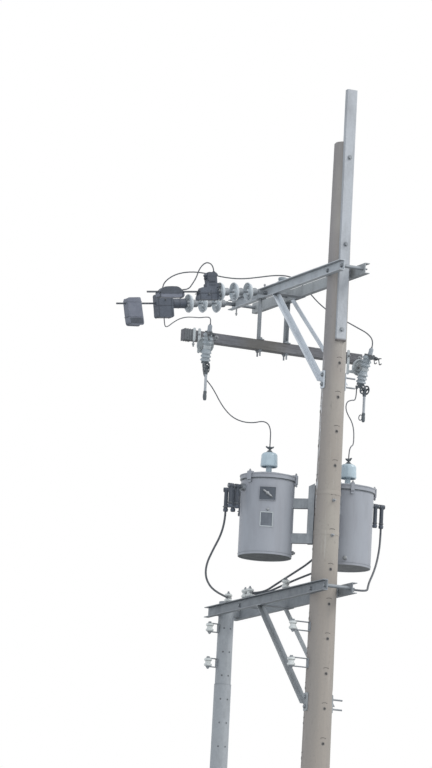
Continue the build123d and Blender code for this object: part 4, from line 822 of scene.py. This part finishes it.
def add_left_tank_fittings():
    """Cover with a handle, a bare plate in a light frame and a small plug."""
    frame = tank_frame("left") @ at(0, 0, 0, FITTINGS_TURN)
    radius = TANK_RADIUS
    seat = radius - 0.001
    half = math.degrees(0.073 / radius)
    cover = Shape()
    cover.curved_plate(frame, seat, 0.012, half, (0.506, 0.627))
    cover.done("switch_cover", "plate_dark")
    edge = Shape()
    for height in (0.503, 0.627):
        edge.curved_plate(frame, seat, 0.015, half + 0.6, (height, height + 0.004))
    for turn in (-half - 0.4, half + 0.4):
        edge.curved_plate(frame @ at(0, 0, 0, turn), seat, 0.015, 0.45, (0.503, 0.631))
    edge.done("switch_cover_frame", "tank_paint")
    handle = Shape()
    bends = ((-8.5, 0.597, 0.010), (-7, 0.592, 0.028), (7, 0.540, 0.028), (8.5, 0.535, 0.010))
    line = [frame @ polar(radius + out, math.radians(turn), level) for turn, level, out in bends]
    handle.swept(line, 0.0085)
    hub = outward(frame, 0, radius + 0.008, 0.568)
    handle.turned(hub, ((0.017, 0), (0.017, 0.012), (0.01, 0.02)), 20)
    handle.done("switch_handle", "steel_bright")
    plate = Shape()
    plate_half = math.degrees(0.061 / radius)
    plate.curved_plate(frame, seat, 0.004, plate_half - 1.8, (0.262, 0.385))
    plate.done("bare_plate", "plate_blank", bevel=0)
    rim = Shape()
    for height in (0.2525, 0.3855):
        rim.curved_plate(frame, seat, 0.007, plate_half, (height, height + 0.009))
    for turn in (-plate_half + 1.0, plate_half - 1.0):
        rim.curved_plate(frame @ at(0, 0, 0, turn), seat, 0.007, 1.0, (0.2525, 0.3945))
    for turn in (-plate_half + 1.0, plate_half - 1.0):
        for height in (0.2585, 0.389):
            rivet = outward(frame @ at(0, 0, 0, turn), 0, radius + 0.005, height)
            rim.turned(rivet, ((0.004, 0), (0.003, 0.003)), 10)
    rim.done("plate_rim", "steel_pale", bevel=0)
    plug = Shape()
    boss = outward(frame, 2, radius - 0.002, 0.418)
    plug.turned(boss, ((0.013, 0), (0.013, 0.012), (0.009, 0.018)), 16)
    plug.done("tank_plug", "steel_bright")


def add_high_terminals():
    """Stud, nuts and a winged clamp on each porcelain bell."""
    clamps = Shape()
    wing_outline = (
        (0.014, -0.008), (0.034, 0.0), (0.041, 0.012), (0.034, 0.018), (0.026, 0.014),
        (0.014, 0.010),
    )
    for side, wing_turn in WING_TURNS.items():
        frame = tank_frame(side) @ at(0, 0, BELL_TOP - TANK_BOTTOM, wing_turn)
        clamps.turned(frame, ((0.036, -0.006), (0.036, 0.004), (0.03, 0.009), (0.012, 0.01)), 28)
        clamps.rod(frame, 0.0215, 0.008, 0.022, 6)
        clamps.turned(frame, ((0.010, 0.02), (0.010, 0.055), (0.008, 0.06)), 16)
        clamps.turned(frame, ((0.019, 0.034), (0.023, 0.04), (0.023, 0.05), (0.017, 0.056)), 20)
        for turn in (0, 180):
            wing = frame @ at(0, 0, 0.045, turn) @ spin("X", 90)
            clamps.prism(wing, wing_outline, -0.0045, 0.0045)
        side_bolt = frame @ at(0, 0.012, 0.045) @ spin("X", -90)
        clamps.rod(side_bolt, 0.006, 0, 0.028)
        clamps.rod(side_bolt, 0.0105, 0.01, 0.019, 6)
    clamps.done("terminal_clamps", "dark_casting", replaces=("hv_terminals",))


def add_bushing_flanges():
    """Flange and ring of bolts under each bell's neck."""
    rings = Shape()
    for frame in map(tank_frame, TANK_ANGLES):
        base = TANK_HEIGHT + 0.041
        outline = ((0.046, base - 0.004), (0.046, base + 0.006), (0.040, base + 0.010))
        rings.turned(frame, outline, 32)
        for number in range(6):
            place = frame @ at(0, 0, base - 0.002, 60 * number + 20) @ at(0.053, 0, 0)
            rings.bolt(place, 0.013, 0.007)
    rings.done("bushing_flanges", "steel_bright")


def add_boot_details():
    """Clamps round the hanging boots and caps over their tops."""
    foot = ((0.020, -0.012), (0.0235, 0.0), (0.0235, 0.012), (0.022, 0.016))
    top = ((0.022, 0.194), (0.0225, 0.204), (0.016, 0.214), (0.006, 0.217))
    band = ((0.0232, 0.028), (0.0236, 0.030), (0.0236, 0.036), (0.0232, 0.038))
    caps, bands = Shape(), Shape()
    for frame in map(tank_frame, TANK_ANGLES):
        for turn in BUSHING_TURNS:
            for place in BOOT_PLACES:
                boot = frame @ at(0, 0, BOOT_LEVEL - TANK_BOTTOM, turn)
                boot = boot @ at(TANK_RADIUS + place, 0, 0)
                caps.turned(boot, foot, 20)
                caps.turned(boot, top, 20)
                bands.turned(boot, band, 20)
                bands.box(boot @ at(0, 0, 0, 40), (0.021, 0.029), (-0.004, 0.004), (0.0285, 0.0375))
    caps.done("boot_ends", "dark_cover")
    bands.done("boot_bands", "steel_dark")


def post_radius(height):
    """Outer radius of the lapped steel post at a height."""
    share = (POST_TOP - height) / POST_TOP
    laps = sum(1 for lap in POST_LAPS if height < lap)
    return POST_TOP_RADIUS + POST_SPREAD * share + POST_LAP_STEP * laps


def add_post_details():
    """Bolt heads up the post, its lap edges and the anchor bolts through its foot flange."""
    heads = Shape()
    for angle in PLUG_TURNS:
        for number in range(PLUG_COUNT):
            height = PLUG_TOP - PLUG_PITCH * number
            place = outward(at(POST_PLACE, 0, 0), angle, post_radius(height) - 0.001, height)
            heads.turned(place, ((0.009, 0), (0.009, 0.002), (0.006, 0.0035)), 12)
    heads.done("post_plugs", "steel_dark")
    foot = Shape()
    for number in range(6):
        place = at(POST_PLACE, 0, 0.02, 60 * number + 30) @ at(ANCHOR_CIRCLE, 0, 0)
        foot.turned(place, ((0.008, 0), (0.008, 0.055), (0.006, 0.058)), 14)
        foot.bolt(place, 0.03, 0.016, 0.02)
    foot.done("post_anchor_bolts", "steel_bright")
    seams = Shape()
    for height in POST_LAPS:
        inner = post_radius(height - 0.002) - 0.005
        outer = post_radius(height - 0.002) + 0.001
        place = at(POST_PLACE, 0, height)
        seams.turned(place, ((outer, -0.006), (outer, -0.001), (inner, 0.001)), 40)
    seams.done("post_lap_edges", "galvanised")


def cutout_frame(side, along, reach, sideways=0.0):
    """Frame on a cutout whose own Z runs up the porcelain and own X points outward."""
    x, y, turn = CUTOUT_FEET[side]
    foot = at(x, y, CUTOUT_LEVEL, turn) @ at(CUTOUT_REACH, 0, 0, 0, CUTOUT_LEAN)
    return foot @ Matrix.Translation((reach, sideways, along))


def add_top_contacts():
    """Contact plate between two cheeks, guide prongs with horns, light terminal cover."""
    cheek = (
        (0.045, 0.006), (0.100, 0.010), (0.166, -0.003), (0.138, -0.013), (0.110, -0.028),
        (0.076, -0.032), (0.050, -0.014),
    )
    cover = (
        (0.0235, 0), (0.0235, 0.012), (0.0215, 0.016), (0.0215, 0.052), (0.018, 0.062),
        (0.010, 0.068),
    )
    metal, prongs, covers = Shape(), Shape(), Shape()
    for side in CUTOUT_FEET:
        base = cutout_frame(side, PORCELAIN_END, 0)
        metal.turned(base, ((0.037, 0), (0.037, 0.007), (0.034, 0.010)), 28)
        half = CONTACT_HALF_WIDTH
        metal.box(base, (0.0, 0.112), (-half, half), (0.001, 0.009))
        metal.turned(base @ at(0.088, 0, 0.008), ((0.012, 0), (0.012, 0.008), (0.007, 0.012)), 16)
        for spread in (-1, 1):
            start = spread * 0.018
            wide = spread * 0.030
            bend = [
                (0.088, start, 0.005), (0.112, start * 1.25, 0.003), (0.134, wide, -0.004),
                (0.156, wide, -0.034), (0.168, wide, -0.054), (0.182, wide, -0.052),
                (0.196, wide, -0.039),
            ]
            prongs.swept([base @ Vector(point) for point in bend], 0.0052, 10)
            horn = [(0.130, wide, -0.003), (0.152, wide, 0.004), (0.174, wide, 0.008)]
            prongs.swept([base @ Vector(point) for point in horn], 0.0048, 10)
            sideways = base @ at(0, spread * (half + 0.0015), 0) @ spin("X", 90)
            metal.prism(sideways, cheek, -0.002, 0.002)
        cross = [base @ Vector((0.134, spread * 0.032, -0.003)) for spread in (-1, 1)]
        prongs.swept(cross, 0.0042, 8)
        top = base @ at(0.028, 0, 0.010)
        covers.turned(top, cover, 28)
        metal.turned(top, ((0.0085, 0.066), (0.0085, 0.074), (0.006, 0.077)), 14)
    metal.done("contact_plates", "steel_dark", replaces=("cutout_top_contacts",))
    prongs.done("contact_prongs", "steel_dark", replaces=("cutout_top_contacts",))
    covers.done("terminal_covers", "cover_light", replaces=("cutout_top_contacts",))


def add_cutout_porcelain():
    """Grey porcelain with soft, rounded sheds in two stacks."""
    shed = (
        (0.037, 0), (0.045, 0.002), (0.050, 0.006), (0.0505, 0.012), (0.046, 0.018), (0.041, 0.024),
        (0.038, 0.030),
    )
    sheds = [(radius, 0.036 * number + rise) for number in range(3) for radius, rise in shed]
    inner_end = [(0.034, 0.018), (0.036, 0.024)]
    outer_end = [(0.035, 0.138), (0.033, 0.1405)]
    upper = inner_end + [(radius, 0.030 + rise) for radius, rise in sheds] + outer_end
    lower = [(radius, rise - 0.140) for radius, rise in sheds]
    lower = [(0.033, -0.1405), (0.035, -0.138), *lower, (0.036, -0.022), (0.034, -0.018)]
    stacks = Shape()
    for side in CUTOUT_FEET:
        frame = cutout_frame(side, 0, 0)
        stacks.turned(frame, upper, 32)
        stacks.turned(frame, lower, 32)
        stacks.rod(frame, 0.0312, -0.03, 0.03, 24)
    stacks.done("cutout_porcelain", "porcelain_grey", replaces=("cutout_insulators",), bevel=0)


def add_cutout_details():
    """Clamp bolts, cement rings and hood ridges on each cutout."""
    steel, hood, cement = Shape(), Shape(), Shape()
    for side in CUTOUT_FEET:
        for end in (1, -1):
            ring = cutout_frame(side, PORCELAIN_END * end, 0)
            outline = [(0.036, -0.001 * end), (0.036, -0.006 * end), (0.032, -0.009 * end)]
            cement.turned(ring, outline, 28)
        band = cutout_frame(side, 0, 0)
        for turn in (90, -90):
            bolt = band @ at(0, 0, 0, turn) @ at(0.037, 0, 0, 0, 90)
            steel.bolt(bolt, 0.019, 0.010, 0.013)
        dish = cutout_frame(side, 0, -0.078) @ spin("Y", 90)
        for radius in (0.030, 0.052, 0.0735):
            hood.hoop(dish, radius, -0.0105, 0.0028, steps=36)
        hood.hoop(dish, 0.0805, 0.0, 0.0035, steps=40)
        steel.bolt(dish @ at(0, 0, -0.010), 0.026, 0.012, 0.02)
        x, y, turn = CUTOUT_FEET[side]
        for offset in (-0.040, -0.094):
            clamp = at(x + 0.008, y, 9.85, turn) @ at(0, offset, 0, 0, 90)
            steel.bolt(clamp, 0.02, 0.011, 0.013)
    steel.done("cutout_bolts", "steel_bright")
    # Painted light: the hood ridges take the lighter zinc copy
    hood.done("hood_ridges", "steel_pale")
    cement.done("cement_rings", "cement", bevel=0)


def holder_pin(side):
    """Frame at a holder's pin, whose own Z points up and own X outward from the porcelain."""
    place = cutout_frame(side, HINGE_ALONG, HINGE_OUT).translation
    return at(*place, CUTOUT_FEET[side][2])


def add_holders():
    """Swung-down fuse holders: trunnion, casting under it, tube, end casting and pull ring."""
    radius = HOLDER_TUBE_RADIUS
    for side in CUTOUT_FEET:
        pin = holder_pin(side)
        body = side + "_holder"
        node = ("fuse_holder_" + side,)
        tube = Shape()
        tube.rod(pin, radius, -0.048, -0.236, 28)
        for height in (-0.085, -0.225):
            bead = at(0, 0, height)
            outline = ((radius, -0.006), (0.0136, -0.004), (0.0136, 0.004), (radius, 0.006))
            tube.turned(pin @ bead, outline, 28)
        tube.done(side + "_holder_tube", "fibre", body, node, 0)
        dark = Shape()
        cross = pin @ spin("X", 90)
        collar = ((0.017, 0.013), (0.017, -0.013), (0.0072, -0.013), (0.0072, 0.013))
        rings = [ring_points(cross, reach, level, 24) for reach, level in collar]
        dark.skin([*rings, rings[0]], capped=False)
        bmesh.ops.remove_doubles(dark.mesh, verts=dark.mesh.verts, dist=1e-6)
        dark.box(pin, (-0.015, 0.015), (-0.013, 0.013), (-0.052, -0.0125))
        dark.turned(pin, ((0.0165, -0.066), (0.017, -0.062), (0.017, -0.044), (0.0145, -0.040)), 24)
        foot = (
            (0.0145, -0.228), (0.0168, -0.234), (0.0168, -0.246), (0.0155, -0.250),
            (0.0155, -0.262), (0.017, -0.266), (0.017, -0.300), (0.0145, -0.312), (0.010, -0.318),
        )
        dark.turned(pin, foot, 24)
        ring = pin @ at(-0.043, 0, -0.2676) @ spin("X", 90)
        dark.hoop(ring, 0.026, 0, 0.0048, 10, 32)
        dark.box(pin, (-0.021, -0.014), (-0.008, 0.008), (-0.284, -0.252))
        dark.done(side + "_holder_castings", "dark_casting", body, node)


def add_spool_ties():
    """Tie wires and washers on the low voltage spools."""
    wires, caps = Shape(), Shape()
    for place in SPOOL_PLACES:
        spool = at(place, SPOOL_ROW, SPOOL_LEVEL)
        for level in (-0.004, 0.0, 0.004):
            wires.hoop(spool, 0.0285, level, 0.0019, 6, 24)
        caps.turned(spool, ((0.018, 0.0375), (0.018, 0.041), (0.012, 0.043)), 20)
    wires.done("spool_ties", "steel_bright", bevel=0)
    caps.done("spool_washers", "steel_dark")


def add_crossarm_details():
    """Ribbed sleeve on the crossarm's end, through-bolts and the bolt under its end."""
    sleeve = Shape()
    half = CROSSARM_HALF_WIDTH
    for number in range(4):
        rib = at(CROSSARM_PLACE, -0.957 + 0.0245 * number, CROSSARM_LEVEL)
        sleeve.box(rib, (-half - 0.006, half + 0.006), (0, 0.0105), (-0.056, 0.056))
    end = at(CROSSARM_PLACE, -0.958, CROSSARM_LEVEL)
    sleeve.box(end, (-half - 0.003, half + 0.003), (0, 0.083), (-0.053, 0.053))
    sleeve.done("crossarm_sleeve", "steel_dark")
    bolts = Shape()
    for y in CROSSARM_BOLTS:
        face = at(CROSSARM_PLACE + half, y, CROSSARM_LEVEL + 0.005) @ spin("Y", 90)
        bolts.bolt(face, 0.024, 0.012, 0.022)
        bolts.rod(face, 0.008, 0.01, 0.034)
        back = at(CROSSARM_PLACE - half, y, CROSSARM_LEVEL + 0.005) @ spin("Y", -90)
        bolts.bolt(back, 0.024, 0.012, 0.022)
    under = at(-1.31, -0.859, 9.786) @ spin("X", 180)
    bolts.turned(under, ((0.008, 0), (0.008, 0.058), (0.006, 0.061)), 14)
    bolts.rod(under, 0.013, 0.028, 0.042, 6)
    bolts.done("crossarm_bolts", "steel_bright")


def string_frame(place, distance, rise):
    """Frame on a drooping string: own X outward along the line, own Z up."""
    pivot = Matrix.Translation((place, -STRING_PIN, STRING_LEVEL))
    point = Matrix.Translation((0, STRING_PIN - distance, rise))
    return pivot @ spin("X", STRING_DROOP) @ point @ spin("Z", -90)


def add_string_covers():
    """Straps, ribs, lid, knob, glands and latches of the dark covers on both strings."""
    dark = Shape()
    inner = string_frame(INNER_STRING, 0.640, 0)
    for distance in (0.012, 0.078, 0.196):
        dark.box(inner, (distance, distance + 0.010), (-0.0405, 0.0405), (-0.0825, 0.012))
    dark.box(inner, (-0.002, 0.224), (-0.0415, 0.0415), (-0.020, -0.014))
    cap = string_frame(INNER_STRING, 0.702, 0.038)
    tipped = cap @ spin("X", 90)
    lid = (
        (-0.050, 0.128), (-0.044, 0.146), (0.040, 0.150), (0.052, 0.118), (0.050, 0.062),
        (-0.040, 0.058),
    )
    dark.prism(tipped, rounded(lid, 0.14), -0.040, 0.040)
    for rise in (0.022, 0.044):
        dark.box(cap, (-0.037, 0.039), (-0.0365, 0.0365), (rise, rise + 0.007))
    dark.box(cap, (-0.046, 0.048), (-0.042, 0.042), (0.108, 0.116))
    knob = string_frame(INNER_STRING, 0.702, 0.128) @ at(0.050, 0, 0, 0, 90)
    dark.turned(knob, ((0.012, 0), (0.014, 0.004), (0.014, 0.016), (0.009, 0.021)), 18)
    gland = string_frame(INNER_STRING, 0.665, 0.176)
    dark.rod(gland, 0.0175, 0, 0.010, 6)
    dark.turned(gland, ((0.015, 0.010), (0.0155, 0.014), (0.012, 0.022)), 20)
    tube = string_frame(OUTER_STRING, 0.650, 0) @ spin("Y", 90)
    for reach in (0.003, 0.072, 0.136):
        bead = ((0.0485, 0), (0.0500, 0.003), (0.0500, 0.009), (0.0485, 0.012))
        dark.turned(tube, [(radius, reach + rise) for radius, rise in bead], 32)
    block = string_frame(OUTER_STRING, 0.800, 0)
    dark.box(block, (0.004, 0.171), (-0.0485, 0.0485), (0.079, 0.0865))
    for reach in (0.014, 0.152):
        dark.box(block, (reach, reach + 0.009), (-0.0482, 0.0482), (-0.1425, 0.083))
    dark.box(block, (0.0, 0.175), (-0.0482, 0.0482), (-0.030, -0.024))
    lead = string_frame(OUTER_STRING, 0.890, 0.085)
    dark.turned(lead, ((0.018, 0), (0.018, 0.010), (0.012, 0.022)), 20)
    dark.done("cover_straps", "cover_dark")
    latches = Shape()
    for frame, reach, side, rise in (
        (inner, 0.110, 0.0405, -0.030), (block, 0.085, 0.047, 0.030),
    ):
        for turn in (1, -1):
            place = frame @ at(reach, side * turn, rise) @ spin("X", -90 * turn)
            latches.bolt(place, 0.014, 0.006, 0.011)
    latches.done("cover_latches", "steel_dark")


def rounded(outline, share=0.3, steps=4):
    """Outline with each corner cut into a short arc."""
    points = []
    count = len(outline)
    for number, corner in enumerate(outline):
        corner = Vector(corner)
        before = corner.lerp(Vector(outline[number - 1]), share)
        after = corner.lerp(Vector(outline[(number + 1) % count]), share)
        for step in range(steps + 1):
            along = step / steps
            points.append(before.lerp(corner, along).lerp(corner.lerp(after, along), along))
    return [(point.x, point.y) for point in points]


def add_line_covers():
    """Drooping cover with an open foot on the outer line, humped cover on the inner one."""
    shell, dark = Shape(), Shape()
    far_line = string_frame(OUTER_STRING, 1.095, 0) @ spin("X", 90)
    body = (
        (0.058, 0.054), (0.190, 0.052), (0.200, 0.018), (0.188, -0.214), (0.034, -0.220),
        (0.050, 0.010),
    )
    body = rounded(body, 0.16)
    for low, high in ((-0.052, -0.044), (0.044, 0.052)):
        shell.prism(far_line, body, low, high)
    spine = [(x * 0.97 + 0.004, y * 0.97) for x, y in body]
    shell.prism(far_line, spine, -0.045, 0.045)
    foot = ((0.044, -0.208), (0.180, -0.204), (0.184, -0.146), (0.048, -0.146))
    dark.prism(far_line, foot, -0.0528, 0.0528)
    for rise in (-0.130, 0.012):
        band = ((0.046, rise), (0.199, rise), (0.198, rise - 0.006), (0.046, rise - 0.006))
        shell.prism(far_line, band, -0.0545, 0.0545)
    near_line = string_frame(INNER_STRING, 1.010, 0) @ spin("X", 90)
    hump = (
        (0.0, -0.058), (0.0, -0.012), (0.060, 0.040), (0.140, 0.047), (0.215, 0.038),
        (0.272, -0.012), (0.272, -0.058),
    )
    shell.prism(near_line, rounded(hump), -0.036, 0.036)
    rim = (
        (0.0, -0.022), (0.0, -0.006), (0.062, 0.046), (0.140, 0.048), (0.212, 0.044),
        (0.274, -0.006), (0.274, -0.022),
    )
    for start in (-0.041, 0.034):
        dark.prism(near_line, rounded(rim), start, start + 0.007)
    for reach in (0.012, 0.252):
        dark.box(near_line, (reach, reach + 0.010), (-0.061, -0.008), (-0.041, 0.041))
    shell.done("line_cover_shells", "cover_faded", replaces=("line_covers",), bevel=0.002)
    dark.done("line_cover_rims", "cover_dark", replaces=("line_covers",))


def add_string_hardware():
    """Cotter pins and galvanised rings on the caps between the discs."""
    neck = ((0.039, -0.052), (0.041, -0.049), (0.041, -0.043), (0.0385, -0.040))
    rings = Shape()
    for place in (INNER_STRING, OUTER_STRING):
        for number in range(DISC_COUNT):
            disc = string_frame(place, FIRST_DISC + DISC_PITCH * number, 0) @ spin("Y", 90)
            rings.turned(disc, neck, 28)
            pin = disc @ at(0, 0, -0.078) @ spin("X", 90)
            rings.rod(pin, 0.003, -0.022, 0.022, 8)
    rings.done("cap_rings", "steel_bright")


def add_arm_details():
    """Rods with nuts that hang under and stand over the upper channels."""
    rods = Shape()
    for x, low, high in ((-1.874, 10.215, 10.302), (-1.268, 10.400, 10.430)):
        place = at(x, -0.15, 0)
        rods.rod(place, 0.007, low, high)
        rods.rod(place, 0.0115, low + 0.012, low + 0.024, 6)
    rods.done("arm_rods", "steel_bright")


def add_pole_bands():
    """Slim dusty bands round the pole, drawn tight behind it."""
    bands = Shape()
    width = BAND_WIDTH
    for height in BAND_LEVELS:
        low = height - width / 2
        radius = pole_radius(low) + 0.0015
        outline = ((radius, 0), (radius + 0.0015, 0.002), (radius + 0.001, 0.042), (radius, width))
        bands.turned(at(0, 0, low), outline, 64)
        ears = at(0, 0, low, 184)
        for start in (-0.009, 0.003):
            bands.box(ears, (radius - 0.004, radius + 0.042), (start, start + 0.006), (0, width))
        bolt = ears @ at(radius + 0.022, 0, width / 2) @ spin("X", 90)
        bands.rod(bolt, 0.008, -0.036, 0.040)
        for start in (-0.023, 0.010):
            bands.rod(bolt, 0.013, start, start + 0.013, 6)
    bands.done("slim_pole_bands", "concrete", replaces=("pole_bands",), bevel=0)


def add_post_insulator_tie():
    """Tie wire twisted round the post insulator's neck."""
    wires = Shape()
    place = at(*INSULATOR_NECK)
    for level in (-0.003, 0.002):
        wires.hoop(place, 0.0395, level, 0.0022, 6)
    wires.done("insulator_tie", "steel_bright", bevel=0)


def add_details():
    """Every detail piece that the CAD leaves to the looks."""
    add_step_sockets()
    add_tank_details()
    add_left_tank_fittings()
    add_high_terminals()
    add_bushing_flanges()
    add_boot_details()
    add_post_details()
    add_top_contacts()
    add_cutout_porcelain()
    add_cutout_details()
    add_holders()
    add_spool_ties()
    add_crossarm_details()
    add_string_covers()
    add_line_covers()
    add_string_hardware()
    add_arm_details()
    add_pole_bands()
    add_post_insulator_tie()


add_camera()
add_world()
add_sun("high_sun", 1.5, 30, (0.6, 0.8, 0.95))
add_sun("low_fill", 0.65, 90, (0.9, -0.3, 0.25))
add_floor(floor_finish())
dress_nodes()
for cord_node, facts in CORDS.items():
    add_cord(cord_node, *facts)
add_details()
